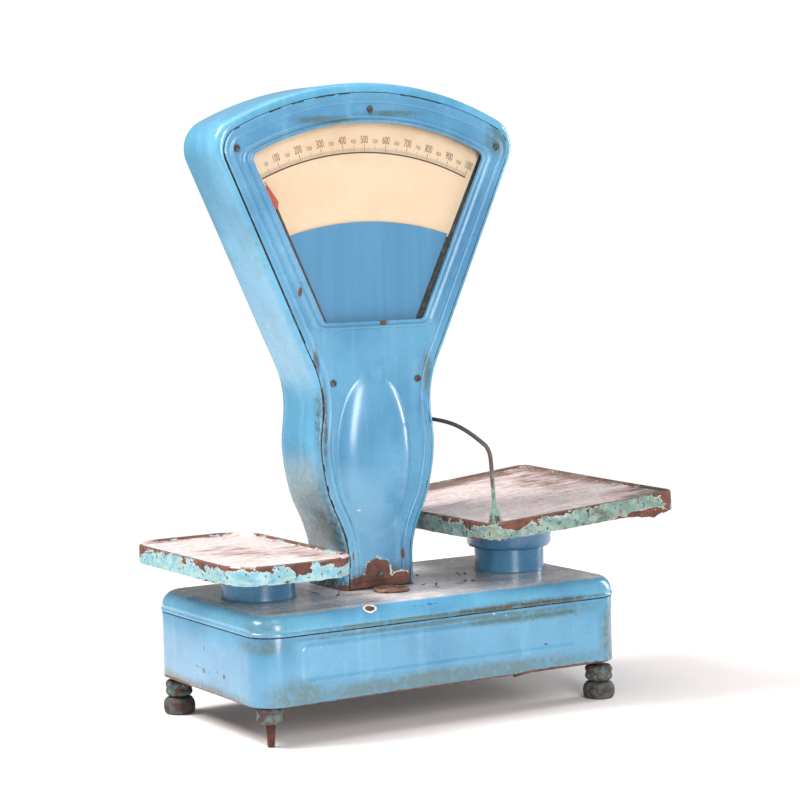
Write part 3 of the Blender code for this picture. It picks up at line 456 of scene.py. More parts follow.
def enamel(name, marks=(), tint=PAINT, deep=PAINT_DEEP, dust_and_sheen_top=False, specks=0.3, patina=0.25,
           grain=0.0):
    """Old gloss enamel: streaks, patina, grime and painted shade in the crevices, chips down to the rust.
    A mark is (kind, centre, radii) in the row frame. Kinds: chip (white rim), flake (broken rim),
    rust, scratch, grime_and_shade (placed grime), dirt and soot_and_shade (placed soot)."""
    s = Shader(name)
    broad = s.noise(8.0, 3.0)
    blotch = s.noise(34.0, 8.0, 0.68)
    mottle = s.noise(170.0, 6.0, 0.72)
    streaks = s.noise(60.0, 4.0, 0.6, stretch=(1.0, 1.0, 0.07))
    fine = s.noise(420.0, 3.0, 0.6)
    ragged = s.add("Math", {0: s.noise(150.0, 6.0, 0.7), 1: 0.5}, operation="SUBTRACT").outputs[0]
    ragged = s.add("Math", {0: ragged, 1: 1.3}, operation="MULTIPLY").outputs[0]

    colour = s.mix(s.step(broad, 0.36, 0.64), deep, tint)
    colour = s.mix(s.times(s.step(streaks, 0.52, 0.78), 0.30), colour, PAINT_PALE)
    colour = s.mix(s.times(s.step(blotch, 0.58, 0.72), 0.26), colour, PAINT_PALE)
    aged = s.times(s.step(blotch, 0.56, 0.36), s.step(mottle, 0.42, 0.60))
    colour = s.mix(s.times(aged, patina), colour, PATINA)
    colour = s.mix(s.times(s.step(fine, 0.60, 0.72), 0.12), colour, PAINT_PALE)

    # Greenish grey where the surface is closed in, by ambient occlusion: painted shade along with grime.
    crevice = s.step(s.occlusion(0.009), 0.24, 0.62)
    broken = s.step(s.plus(s.times(blotch, 0.35), s.times(mottle, 0.65)), 0.42, 0.56)
    grime_and_shade = s.times(s.times(crevice, s.step(mottle, 0.28, 0.54)), 0.85)
    for kind, shade in (("grime_and_shade", GRIME_AND_SHADE), ("dirt", DIRT)):
        placed = placed_mask(s, marks, kind, 1.15, 0.15)
        if placed:
            cover = s.times(s.plus(s.times(placed, 0.55), s.times(placed, broken)), 0.75)
            colour = s.mix(cover, colour, shade)
    colour = s.mix(grime_and_shade, colour, GRIME_AND_SHADE)
    # Up-facing faces take a pale pinkish colour: dust together with a painted reflection of the pale surroundings at a
    # glancing angle, darker in crevices as painted shade.
    if dust_and_sheen_top:
        up = s.add("SeparateXYZ", {0: s.add("NewGeometry").outputs["Normal"]}).outputs[2]
        flat = s.times(s.step(up, 0.86, 0.985), s.plus(0.62, s.times(s.step(blotch, 0.40, 0.60), 0.38)))
        dust = s.mix(s.step(s.noise(26.0, 7.0, 0.7, stretch=(0.4, 1.0, 1.0)), 0.36, 0.62),
                     rgb(184, 170, 168), rgb(218, 207, 205))
        dust = s.mix(s.times(s.step(crevice, 0.1, 0.7), 0.7), dust, rgb(96, 80, 74))
        colour = s.mix(flat, colour, dust)
    soot_and_shade = placed_mask(s, marks, "soot_and_shade", 1.15, 0.35)
    if soot_and_shade:
        colour = s.mix(s.times(soot_and_shade, s.step(broken, 0.0, 0.35)), colour, SOOT)

    edge = s.step(s.add("NewGeometry").outputs["Pointiness"], 0.53, 0.60)
    speck = s.times(s.step(s.noise(210.0, 3.0, 0.5), 0.71, 0.735), s.step(s.noise(13.0, 2.0), 0.48, 0.60))
    speck = s.most(s.times(speck, specks), s.times(s.times(edge, s.step(mottle, 0.56, 0.62)), 0.7))
    rim = s.times(s.step(crevice, 0.55, 0.95), s.times(s.step(mottle, 0.50, 0.58), 0.8))
    bare = s.most(speck, rim)
    primer = s.times(s.step(s.noise(95.0, 3.0), 0.745, 0.755), 0.7)
    chip = placed_mask(s, marks, "chip", 1.25, 1.15, ragged)
    if chip:
        primer = s.most(primer, chip)
        bare = s.most(bare, placed_mask(s, marks, "chip", 0.90, 0.82, ragged))
    frayed = s.add("Math", {0: ragged, 1: 0.6}, operation="MULTIPLY").outputs[0]
    flake = placed_mask(s, marks, "flake", 1.10, 1.03, frayed)
    if flake:
        primer = s.most(primer, s.times(flake, s.step(s.noise(55.0, 3.0), 0.47, 0.56)))
        bare = s.most(bare, placed_mask(s, marks, "flake", 1.00, 0.95, frayed))
    rust = placed_mask(s, marks, "rust", 1.00, 0.90, ragged)
    if rust:
        bare = s.most(bare, rust)
    colour = s.mix(primer, colour, PRIMER)
    colour = s.mix(bare, colour, rust_colour(s))
    scratch = placed_mask(s, marks, "scratch", 1.0, 0.8, ragged)
    if scratch:
        dashes = s.step(s.noise(230.0, 4.0, 0.7, stretch=(0.5, 0.5, 1.2)), 0.47, 0.53)
        colour = s.mix(s.times(scratch, dashes), colour, SOOT)

    rough = s.plus(s.plus(0.20, s.times(blotch, 0.14)), s.plus(s.times(grime_and_shade, 0.25), s.times(bare, 0.5)))
    height = s.plus(s.times(fine, s.plus(0.04 + grain, s.times(bare, 0.5))), s.times(s.less(1.0, bare), 0.4))
    height = s.plus(height, s.times(s.less(1.0, primer), 0.1))
    return s.finish(colour, rough, height, 0.0006, coat_weight=0.3, coat_roughness=0.17)


def seam_finish():
    """The dark, dirty line where two painted sheets meet; the same finish is also painted shade under the lid's lip and
    inside the tower's band.
    """
    s = Shader("seam_dirt_and_shade")
    broken = s.noise(120.0, 6.0, 0.7)
    colour = s.mix(s.step(broken, 0.50, 0.60), rgb(30, 32, 34), rgb(74, 82, 80))
    return s.finish(colour, 0.8, broken, 0.0004)


def pan_side(name, place, rust_share, tint, pale, stain, soot_and_shade=0.3, spots=()):
    """Chipped turquoise enamel on a pan's flange: the paint has gone first along the upper edge."""
    s = Shader(name)
    up = tuple(place.to_3x3() @ Vector((0, 0, 1)))
    below = s.add("VectorMath", {0: s.place, 1: up}, operation="DOT_PRODUCT").outputs["Value"]
    rim = Vector(up).dot(place.translation)
    top = s.step(below, rim - 0.0150, rim - 0.0015)
    patch = s.noise(30.0, 9.0, 0.66, stretch=(1.0, 1.0, 2.2), distortion=0.4)
    fine = s.noise(150.0, 6.0, 0.7)
    colour = s.mix(s.step(s.noise(55.0, 7.0, 0.65, stretch=(1.0, 1.0, 1.8)), 0.42, 0.60), tint, pale)
    colour = s.mix(s.times(s.step(s.noise(24.0, 6.0, 0.65), 0.50, 0.66), 0.7), colour, stain)
    colour = s.mix(s.times(s.step(fine, 0.52, 0.66), 0.35), colour, rgb(84, 112, 108))
    # Dark mottling by noise; on the goods pan its larger amount also stands for painted shade from the tower.
    black = s.times(s.step(s.noise(26.0, 9.0, 0.78, stretch=(1.0, 1.0, 1.6)), 0.50, 0.64), soot_and_shade)
    colour = s.mix(black, colour, rgb(62, 62, 54))
    edge = s.step(s.add("NewGeometry").outputs["Pointiness"], 0.51, 0.58)
    limit = 0.75
    worn = s.plus(s.plus(patch, s.times(top, 0.24 * rust_share)), s.times(edge, 0.08))
    worn = s.plus(worn, s.times(fine, 0.14))
    for centre, radii in spots:
        worn = s.plus(worn, s.times(s.step(s.near(tuple(place @ Vector(centre)), radii), 1.2, 0.3), 0.22))
    fringe = s.step(worn, limit - 0.024, limit - 0.010)
    bare = s.step(worn, limit, limit + 0.012)
    colour = s.mix(s.times(fringe, 0.55), colour, PRIMER)
    colour = s.mix(bare, colour, rust_colour(s))
    colour = s.mix(s.step(s.noise(190.0, 3.0), 0.60, 0.66), colour, RUST_DARK)
    pits = s.times(s.step(s.noise(75.0, 8.0, 0.8), 0.56, 0.62), rust_share)
    colour = s.mix(s.times(pits, 0.7), colour, RUST)
    crest = s.times(s.step(below, rim - 0.0022, rim - 0.0008), s.step(fine, 0.36, 0.48))
    colour = s.mix(s.times(crest, 0.75), colour, rgb(98, 72, 62))
    height = s.plus(s.times(s.less(1.0, bare), 0.45), s.times(s.noise(260.0, 4.0, 0.6), 0.35))
    return s.finish(colour, s.plus(0.42, s.times(bare, 0.36)), height, 0.0009)


def pan_floor(name, place, half, brown, stains=()):
    """Worn, whitened pan floors: fine brown streaks, dirt along the rim and in placed stains, and brown painted shade
    with dirt where the rim closes the floor in.
    """
    s = Shader(name)
    streak = s.noise(46.0, 10.0, 0.80, stretch=(0.4, 1.5, 1.0), distortion=0.3)
    mottled = s.noise(150.0, 8.0, 0.78)
    offset = s.add("VectorMath", {0: s.place, 1: tuple(place.translation)}, operation="SUBTRACT").outputs[0]
    share = s.add("VectorMath", {0: offset, 1: (1 / half[0], 1 / half[1], 0)}, operation="MULTIPLY")
    share = s.add("VectorMath", {0: share.outputs[0]}, operation="ABSOLUTE").outputs[0]
    parts = s.add("SeparateXYZ", {0: share})
    border = s.step(s.most(parts.outputs[0], parts.outputs[1]), 0.78, 1.0)
    stained = s.times(border, 0.10)
    for centre, radii in stains:
        where = tuple(place @ Vector((*centre, 0)))
        stained = s.plus(stained, s.times(s.step(s.near(where, (*radii, 1.0)), 1.1, 0.2), 0.09))
    dirt = s.plus(s.plus(s.times(streak, 0.7), s.times(mottled, 0.3)), stained)
    colour = s.mix(s.step(mottled, 0.38, 0.60), rgb(184, 164, 162), rgb(222, 209, 207))
    low = 0.57 - 0.07 * brown
    colour = s.mix(s.times(s.step(dirt, low, low + 0.05), 0.60), colour, rgb(146, 116, 110))
    colour = s.mix(s.times(s.step(dirt, low + 0.06, low + 0.12), 0.85), colour, rgb(92, 66, 60))
    # Brown by ambient occlusion where the rim closes the floor in: painted shade together with dirt.
    shade_and_stain = s.step(s.occlusion(0.008), 0.20, 0.60)
    colour = s.mix(s.times(shade_and_stain, 0.75), colour, rgb(92, 64, 54))
    pale = s.times(s.step(s.noise(22.0, 6.0, 0.6), 0.57, 0.64), s.times(s.step(mottled, 0.44, 0.58), 0.6))
    colour = s.mix(pale, colour, rgb(140, 176, 168))
    height = s.plus(s.times(streak, 0.5), s.times(mottled, 0.3))
    return s.finish(colour, 0.46, height, 0.0007)


def rusted(name, paint=None, share=0.0, deep=False):
    """Bare rusted steel, with what is left of a coat of paint."""
    s = Shader(name)
    colour = rust_colour(s)
    if deep:
        colour = s.mix(0.5, colour, rgb(44, 40, 38))
    left = s.noise(90.0, 6.0, 0.65)
    if paint:
        worn_paint = s.mix(s.step(s.noise(140.0, 6.0, 0.7), 0.42, 0.60), paint, rgb(62, 66, 64))
        colour = s.mix(s.step(left, 0.60 - 0.30 * share, 0.62 - 0.30 * share), colour, worn_paint)
    height = s.noise(240.0, 6.0, 0.7)
    return s.finish(colour, s.plus(0.56, s.times(height, 0.3)), height, 0.0007)


def guard_finish():
    """The wire guard: green patina on its legs and sleeves, dark rust on its arch."""
    s = Shader("guard_wire")
    middle = FOOT + GOODS_RIM_Z + 0.045
    low = s.step(s.plus(s.axis(2), s.times(s.noise(60.0, 4.0), 0.02)), middle + 0.016, middle + 0.004)
    patina = s.mix(s.noise(120.0, 5.0), rgb(78, 116, 106), rgb(130, 166, 152))
    dark = s.mix(s.noise(160.0, 5.0), rgb(48, 40, 40), rgb(92, 72, 66))
    colour = s.mix(low, dark, patina)
    bare = s.step(s.noise(90.0, 6.0, 0.65, stretch=(1.0, 1.0, 0.4)), 0.56, 0.58)
    colour = s.mix(s.times(bare, low), colour, rust_colour(s))
    return s.finish(colour, 0.5, s.noise(300.0, 4.0), 0.0005)


def metal(name, light, dark, rough=0.32, metallic=1.0):
    """Machined or cast metal with grain and light tarnish."""
    s = Shader(name)
    grain = s.noise(420.0, 3.0, 0.5, stretch=(1.0, 0.15, 1.0))
    tarnish = s.noise(40.0, 6.0, 0.65)
    colour = s.mix(s.step(tarnish, 0.42, 0.64), light, dark)
    roughness = s.plus(rough, s.plus(s.times(grain, 0.14), s.times(tarnish, 0.16)))
    return s.finish(colour, roughness, grain, 0.0002, metallic=metallic)


def dial_finish():
    """Cream lacquer, browned towards its edges where the frame closes it in (ambient occlusion: painted shade with
    staining), and lightly spotted.
    """
    s = Shader("dial_lacquer")
    stain = s.noise(18.0, 6.0, 0.62)
    colour = s.mix(s.step(stain, 0.42, 0.66), rgb(236, 223, 196), rgb(230, 211, 180))
    # Brown by ambient occlusion: painted shade in the recess together with staining.
    shade_and_stain = s.step(s.occlusion(0.018), 0.35, 0.80)
    colour = s.mix(s.times(shade_and_stain, 0.5), colour, rgb(176, 124, 78))
    spots = s.step(s.noise(70.0, 2.0), 0.74, 0.78)
    colour = s.mix(s.times(spots, 0.4), colour, rgb(160, 120, 80))
    return s.finish(colour, 0.5)


def mask_finish():
    """Satin blue paint on the plate below the scale, faintly streaked."""
    s = Shader("mask_paint")
    streak = s.noise(50.0, 3.0, stretch=(1.0, 1.0, 0.04))
    colour = s.mix(s.step(streak, 0.35, 0.7), rgb(58, 121, 159), rgb(68, 131, 170))
    colour = s.mix(s.step(s.noise(90.0, 2.0), 0.745, 0.77), colour, rgb(70, 90, 100))
    return s.finish(colour, 0.5)


def pointer_finish():
    """A dark stem with a red head; both faces are lightly scuffed."""
    s = Shader("pointer_lacquer")
    pivot = TOWER_PLACE @ Vector((0, 0, PIVOT_Z))
    head = s.step(s.near(pivot, (1.0, 100.0, 1.0)), POINTER_HEAD - 0.002, POINTER_HEAD)
    scuffed = s.noise(120.0, 5.0, 0.6)
    red = s.mix(scuffed, rgb(150, 52, 40), rgb(186, 84, 62))
    black = s.mix(scuffed, rgb(38, 36, 38), rgb(70, 60, 58))
    return s.finish(s.mix(head, black, red), 0.4, scuffed, 0.0001)


def glass_finish():
    """A clear pane that mirrors more at a glancing angle."""
    s = Shader("window_glass")
    facing = s.add("LayerWeight", {"Blend": 0.25}).outputs["Fresnel"]
    return s.finish(rgb(238, 245, 247), 0.04, alpha=s.plus(0.01, s.times(facing, 0.2)))


def ink_finish(name, dark, faded):
    s = Shader(name)
    return s.finish(s.mix(s.noise(90.0, 4.0), dark, faded), 0.6)


# Pieces -------------------------------------------------------------------------------

SEAM_AND_SHADE = seam_finish()


def piece(name, bm, body, materials, nodes=(), place=None, angle=32.0):
    mesh = bpy.data.meshes.new(name)
    if place is not None:
        bm.transform(place)
    bm.to_mesh(mesh)
    bm.free()
    mesh.shade_smooth()
    mesh.set_sharp_from_angle(angle=math.radians(angle))
    for material in (materials if isinstance(materials, (list, tuple)) else [materials]):
        mesh.materials.append(material)
    obj = bpy.data.objects.new(name, mesh)
    bpy.context.scene.collection.objects.link(obj)
    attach(obj, body)
    if nodes:
        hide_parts(*nodes)
    return obj


def combine(bm, tool, operation):
    """The union or difference of two bmeshes, as a new bmesh."""
    objects = []
    for source in (bm, tool):
        mesh = bpy.data.meshes.new("part")
        source.to_mesh(mesh)
        source.free()
        obj = bpy.data.objects.new("part", mesh)
        bpy.context.scene.collection.objects.link(obj)
        objects.append(obj)
    modifier = objects[0].modifiers.new("combine", "BOOLEAN")
    modifier.operation = operation
    modifier.solver = "EXACT"
    modifier.object = objects[1]
    graph = bpy.context.evaluated_depsgraph_get()
    result = bmesh.new()
    result.from_mesh(objects[0].evaluated_get(graph).to_mesh())
    for obj in objects:
        bpy.data.objects.remove(obj)
    return result


def carry_over(node, body, material, bevel=0.0003, widen=1.0):
    """A welded copy of a CAD node with its sharp edges broken, so that it shades as a real part."""
    bm = bmesh.new()
    bm.from_mesh(frame["nodes"][node].data)
    for v in bm.verts:
        v.co.x += (v.co.x - TOWER_PLACE.translation.x) * (widen - 1)
    bmesh.ops.remove_doubles(bm, verts=bm.verts[:], dist=2e-6)
    bmesh.ops.dissolve_limit(bm, angle_limit=math.radians(0.6), verts=bm.verts[:], edges=bm.edges[:])
    sharp = [e for e in bm.edges if e.is_manifold and e.calc_face_angle(0.0) > math.radians(40)]
    if sharp and bevel:
        bmesh.ops.bevel(bm, geom=sharp, offset=bevel, segments=2, profile=0.6, affect="EDGES",
                        clamp_overlap=True)
    return piece(node + "_finished", bm, body, material, [node])


def spot(kind, x, y, z, *radii):
    """A mark for enamel(), given in the base's own frame."""
    return kind, tuple(BASE_PLACE @ Vector((x, y, z))), radii


# The base -----------------------------------------------------------------------------

def base_ring(offset, z, steps=14):
    return [(x, y, z) for x, y in rounded_rect(BASE_LENGTH, BASE_DEPTH, BASE_CORNER, offset, steps)]


def quarter(count):
    """Angles from 0 to 90 degrees, in radians."""
    return [math.radians(90 * i / count) for i in range(count + 1)]


def make_housing():
    bm = bmesh.new()
    top = SEAM_Z - GAP
    lip = 0.0012
    section = [(-lip * (1 - math.cos(a)), lip * (1 - math.sin(a))) for a in reversed(quarter(3))]
    section += [(0, 0.030), (0, top - 0.0009), (-0.0003, top), (-SHEET, top), (-SHEET, SHEET), (-0.010, SHEET), (-0.010, 0)]
    add_loft(bm, [base_ring(offset, z) for offset, z in section], closed=True)
    panel = bmesh.new()
    face_y = -BASE_DEPTH / 2
    rise = ((0.0, -0.0010), (0.0, 0.0001), (0.0010, 0.0003), (0.0022, 0.0008), (0.0036, 0.00125),
            (0.0050, 0.0013), (0.0064, 0.00115), (0.0076, 0.0008), (0.0086, 0.0006), (0.0100, 0.00055))
    rings = []
    for inset, out in rise:
        outline = rounded_rect(0.367, 0.047, 0.011, -inset, 8)
        rings.append([(-0.0075 + x, face_y - out, 0.0435 + z) for x, z in outline])
    add_loft(panel, rings)
    bm = combine(bm, panel, "UNION")
    front = -BASE_DEPTH / 2
    end = -BASE_LENGTH / 2
    marks = [
        spot("scratch", end, 0.0185, 0.0262, 0.012, 0.006, 0.0022),
        spot("scratch", end, 0.0000, 0.0232, 0.012, 0.013, 0.0030),
        spot("rust", end, -0.0455, 0.0238, 0.012, 0.0024, 0.0030),
        spot("rust", end, -0.030, 0.0262, 0.012, 0.0014, 0.0014),
        spot("scratch", end, 0.0017, 0.0515, 0.012, 0.0010, 0.0078),
        spot("rust", end, 0.080, -0.001, 0.03, 0.050, 0.0050), spot("rust", end, -0.020, -0.0015, 0.03, 0.110, 0.0034),
        spot("dirt", end, 0.000, 0.0, 0.03, 0.140, 0.012), spot("grime_and_shade", end, 0.095, 0.0, 0.03, 0.050, 0.016),
        spot("rust", 0.0, front, -0.0008, 0.240, 0.012, 0.0028), spot("rust", 0.150, front, -0.0006, 0.09, 0.012, 0.0040),
        spot("grime_and_shade", 0.0, front, 0.0090, 0.260, 0.03, 0.0130), spot("grime_and_shade", 0.225, front, 0.030, 0.022, 0.04, 0.050),
        spot("grime_and_shade", -0.195, front, 0.010, 0.050, 0.03, 0.022), spot("grime_and_shade", -0.225, front + 0.02, 0.066, 0.030, 0.04, 0.012),
        spot("grime_and_shade", 0.0, front, 0.0710, 0.260, 0.02, 0.0034), spot("rust", 0.130, front, 0.031, 0.0030, 0.01, 0.0010),
        spot("grime_and_shade", 0.100, front, 0.0660, 0.120, 0.02, 0.0080),
    ]
    finish = enamel("housing_enamel", marks, rgb(86, 144, 177), rgb(72, 127, 162), specks=0.2)
    shell = piece("housing_shell", bm, "base", [finish, SEAM_AND_SHADE], ["base_housing"], BASE_PLACE)
    # The housing's top edge under the lid's lip: a dark joint with painted shade.
    darken(shell, lambda p: p.z > FOOT + SEAM_Z - 0.0016)
    return shell


def darken(obj, wanted):
    """Give the dark seam finish to the faces whose centre is wanted: the faces under the lid's lip, a dark joint that
    is also painted shade.
    """
    for polygon in obj.data.polygons:
        if wanted(polygon.center):
            polygon.material_index = 1


def make_lid():
    bm = bmesh.new()
    sections = [(-LID_ROUND, LID_Z - SHEET), (-0.010, LID_Z - SHEET - 0.002),
                (-0.0045, LID_Z - SHEET - 0.008), (-0.0022, SEAM_Z + 0.005), (-0.0022, SEAM_Z),
                (0.0006, SEAM_Z), (0.0012, SEAM_Z + 0.0006), (0.0012, SEAM_Z + 0.0026),
                (0.0009, SEAM_Z + 0.0036), (-0.0002, SEAM_Z + 0.0046)]
    for a in quarter(16)[1:]:
        sections.append((-LID_ROUND * (1 - math.cos(a)), LID_Z - LID_ROUND * (1 - math.sin(a))))
    sections += [(-LID_ROUND - 0.004, LID_Z), (-LID_ROUND - 0.012, LID_Z)]
    add_loft(bm, [base_ring(offset, z) for offset, z in sections])
    cuts = bmesh.new()
    for x in (-ARM, ARM):
        add_lathe(cuts, [(0.036, 0.09), (0.036, 0.11)], 48, centre=(x, 0, 0))
    add_box(cuts, (TOWER_X - 0.032, TOWER_Y - 0.032, 0.09), (TOWER_X + 0.032, TOWER_Y + 0.032, 0.11))
    bm = combine(bm, cuts, "DIFFERENCE")
    marks = [
        spot("chip", -0.0995, -0.1278, 0.0967, 0.0072, 0.0060, 0.0044),
        spot("soot_and_shade", TOWER_X, TOWER_Y, LID_Z, 0.062, 0.058, 0.0060),
        spot("scratch", -0.1075, -0.006, LID_Z, 0.0030, 0.030, 0.003),
        spot("grime_and_shade", -0.170, 0, LID_Z, 0.060, 0.075, 0.006), spot("dirt", 0.170, 0, LID_Z, 0.050, 0.055, 0.006),
        spot("grime_and_shade", -0.215, -0.110, 0.085, 0.035, 0.030, 0.012), spot("grime_and_shade", 0.0, -0.1330, 0.0790, 0.260, 0.02, 0.0045),
        spot("dirt", -0.150, -0.100, LID_Z, 0.080, 0.020, 0.008), spot("rust", 0.075, -0.1335, 0.0790, 0.004, 0.01, 0.0018),
        spot("soot_and_shade", 0.0231, -0.0685, LID_Z, 0.006, 0.007, 0.003), spot("soot_and_shade", 0.060, -0.061, LID_Z, 0.005, 0.004, 0.003),
        spot("dirt", 0.100, -0.1330, 0.0800, 0.130, 0.02, 0.0060), spot("scratch", -0.030, -0.128, 0.093, 0.020, 0.01, 0.0006),
    ]
    finish = enamel("lid_enamel", marks, rgb(92, 154, 184), rgb(76, 136, 172), dust_and_sheen_top=True, specks=0.2)
    lid = piece("lid_shell", bm, "base", [finish, SEAM_AND_SHADE], ["base_lid"], BASE_PLACE)
    # The underside of the lid's lip: a dark joint with painted shade.
    darken(lid, lambda p: p.z < FOOT + SEAM_Z + 0.0007)
    return lid


def make_collars():
    finish = enamel("collar_enamel", (), rgb(80, 144, 186), rgb(66, 124, 166), specks=0.1)
    for side, x in (("goods", ARM), ("weights", -ARM)):
        bm = bmesh.new()
        round_foot = [(0.0418 + 0.0010 * math.cos(a), 0.0010 * math.sin(a)) for a in quarter(4)]
        round_top = [(COLLAR_RADIUS - 0.0014 * (1 - math.cos(a)), 0.0260 + 0.0014 * math.sin(a)) for a in quarter(5)]
        section = [(0.0380, 0.0), *round_foot, (COLLAR_RADIUS, 0.0030), *round_top, (0.0384, 0.0274), (0.0380, 0.0270)]
        add_lathe(bm, section, 96, closed=True)
        place = BASE_PLACE @ Matrix.Translation((x, 0, LID_Z + GAP))
        piece(side + "_collar_tube", bm, "base", finish, [side + "_collar"], place)
        make_skirt(side, x, finish)


def make_skirt(side, x, finish):
    """A pan's stem: dust skirt above the collar, stirrup over the load knife, check rod pin."""
    low_box, high_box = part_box(side + "_stem")
    top = high_box.z - FOOT
    bottom = low_box.z - FOOT
    low = COLLAR_TOP_Z + 0.0006
    skirt_top = 0.1650 if side == "goods" else top - 0.0005
    section = [(0.0470, low), (0.0486, low + 0.0004), (0.0497, low + 0.0020), (0.0505, low + 0.0040),
               (0.0505, skirt_top - 0.0030)]
    section += [(0.0475 + 0.0030 * math.cos(a), skirt_top - 0.0030 + 0.0030 * math.sin(a)) for a in quarter(5)[1:]]
    section += [(0.0082, skirt_top), (0.0080, skirt_top + 0.0001), (0.0080, top - 0.0004), (0.0076, top)]
    inner = [(0.0060, top), (0.0060, skirt_top - 0.0018), (0.0470, skirt_top - 0.0018),
             (0.0488, skirt_top - 0.0040), (0.0488, low + 0.0045)]
    bm = bmesh.new()
    add_lathe(bm, section + inner, 96, closed=True)
    roof = bottom + 0.040 + GAP
    add_lathe(bm, [(0.0079, roof + 0.0040), (0.0079, top - 0.0006)], 40)
    half = 0.0130
    window = [(-0.0080, bottom + 0.0260), (0.0080, bottom + 0.0260), (0.0080, roof), (-0.0080, roof)]
    outer = [(-half, bottom + 0.0200), (half, bottom + 0.0200), (half, roof + 0.0080), (-half, roof + 0.0080)]
    add_prism(bm, outer, -0.0060, 0.0060, "Y", [window])
    add_box(bm, (-0.0050, -0.0051, bottom), (0.0050, 0.0051, bottom + 0.0202))
    pin_ends = sorted((0.0, math.copysign(0.0130, x)))
    add_lathe(bm, [(0.0025, end) for end in pin_ends], 24, "Y", (0, 0, bottom + 0.006))
    place = BASE_PLACE @ Matrix.Translation((x, 0, 0))
    body = side + "_carrier"
    piece(side + "_skirt", bm, body, finish, [side + "_stem"], place)


def facetted(profile, facets, segments, depth):
    """Rings of a turned shape whose marked rings are cut to flats."""
    rings = []
    for radius, z, cut in profile:
        ring = []
        for i in range(segments):
            a = 2 * math.pi * i / segments
            half = math.pi / facets
            flat = math.cos(half) / math.cos(a % (2 * half) - half)
            r = radius * (1 - cut * depth * (1 - flat) / (1 - math.cos(half)))
            ring.append((r * math.cos(a), r * math.sin(a), z))
        rings.append(ring)
    return rings


def make_feet():
    """Levelling screws on their pads, with lock nuts; the front left screw is a bare rusty stud."""
    worn = rusted("foot_paint", rgb(84, 106, 104), 0.46, deep=True)
    dark = rusted("pad_paint", rgb(74, 84, 82), 0.44, deep=True)
    stud = rusted("stud_rust")
    for name in ("front_left", "front_right", "back_left", "back_right"):
        bare = name == "front_left"
        low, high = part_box("lock_nut_" + name)
        place = Matrix.Translation(((low.x + high.x) / 2, (low.y + high.y) / 2, 0))
        height = high.z - low.z
        r = 0.0162
        bm = bmesh.new()
        rings = [(0.0047, 0.0, 0), (0.0118, 0.0, 0), (0.0140, -0.0006, 0.6), (r, -0.0034, 1), (r, -0.0060, 1),
                 (0.0150, -0.0082, 0.4), (0.0150, -0.0098, 0.4), (r, -0.0120, 1), (r, -height + 0.0034, 1),
                 (0.0140, -height + 0.0006, 0.6), (0.0118, -height, 0), (0.0047, -height, 0)]
        add_loft(bm, facetted([(a, high.z + z, c) for a, z, c in rings], 8, 96, 0.035), closed=True)
        piece("lock_nut_" + name + "_worn", bm, "base", worn, ["lock_nut_" + name], place)
        bm = bmesh.new()
        if bare:
            profile = [(0.0042, FOOT + 0.030), (0.0042, FOOT - 0.0188), (0.0054, FOOT - 0.0195)]
            turns = 13
            for i in range(turns * 2):
                z = FOOT - 0.0200 - (FOOT - 0.0206) * i / (turns * 2)
                profile.append((0.0056 - 0.0009 * (i % 2) - 0.0012 * i / (turns * 2), z))
            profile += [(0.0040, 0.0004), (0.0036, 0.0)]
            add_lathe(bm, profile, 48)
        else:
            rings = [(0.0042, FOOT + 0.030, 0), (0.0042, FOOT - 0.0245, 0), (0.0100, FOOT - 0.0248, 0),
                     (0.0150, FOOT - 0.0268, 0.3), (0.0176, FOOT - 0.0300, 1), (0.0186, FOOT - 0.0340, 1),
                     (0.0187, FOOT - 0.0375, 1), (0.0182, FOOT - 0.0410, 1), (0.0170, FOOT - 0.0438, 0.5),
                     (0.0155, 0.0, 0)]
            add_loft(bm, facetted(rings, 10, 100, 0.030))
        body = "screw_" + name
        piece("foot_" + name + "_worn", bm, body, stud if bare else dark,
              ["foot_" + name], place)


def make_level_cap():
    low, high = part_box("level_cap")
    centre = (low + high) / 2
    bm = bmesh.new()
    profile = [(0.0196, 0.0), (0.0204, 0.0006), (0.0205, 0.0014), (0.0202, 0.0023), (0.0194, 0.0030),
               (0.0180, 0.0034), (0.0168, 0.0031), (0.0158, 0.0025), (0.0140, 0.0022), (0.0100, 0.0021),
               (0.0050, 0.0022), (0.0012, 0.0022)]
    add_lathe(bm, profile, 96)
    finish = rusted("cap_rust", rgb(140, 96, 78), 0.35)
    place = Matrix.Translation((centre.x, centre.y, low.z))
    piece("level_cap_worn", bm, "base", finish, ["level_cap"], place)


def make_crumbs():
    """Flakes of rust and dirt that lie on the lid round the tower's foot."""
    finish = rusted("crumb_rust", deep=True)
    bm = bmesh.new()
    places = ((0.030, -0.058), (0.035, -0.050), (0.062, -0.064), (0.045, 0.030), (0.052, 0.020), (0.040, 0.046),
              (0.094, -0.008), (0.098, 0.004), (0.104, -0.004), (-0.093, -0.046), (-0.098, -0.052), (0.020, -0.046),
              (0.027, -0.040), (-0.083, -0.030), (0.075, -0.050), (0.082, -0.056))
    for k, (x, y) in enumerate(places):
        size = 0.0011 + 0.0009 * noise.noise(Vector((k * 3.7, 1.0, 0.0)))
        lump = bmesh.ops.create_icosphere(bm, subdivisions=2, radius=size)
        for v in lump["verts"]:
            v.co *= 1 + 0.5 * noise.noise(v.co * 900 + Vector((k * 5.1, 0, 0)))
            v.co.x *= 1.6
            v.co.z *= 0.6
            v.co += Vector((x, y, LID_Z + size * 0.35))
    bmesh.ops.recalc_face_normals(bm, faces=bm.faces[:])
    piece("lid_crumbs", bm, "base", finish, (), BASE_PLACE)


# The tower ----------------------------------------------------------------------------

# Points of the band's section on its painted outside; the faces past them get the dark seam finish as painted shade.
BAND_SKIN = 19

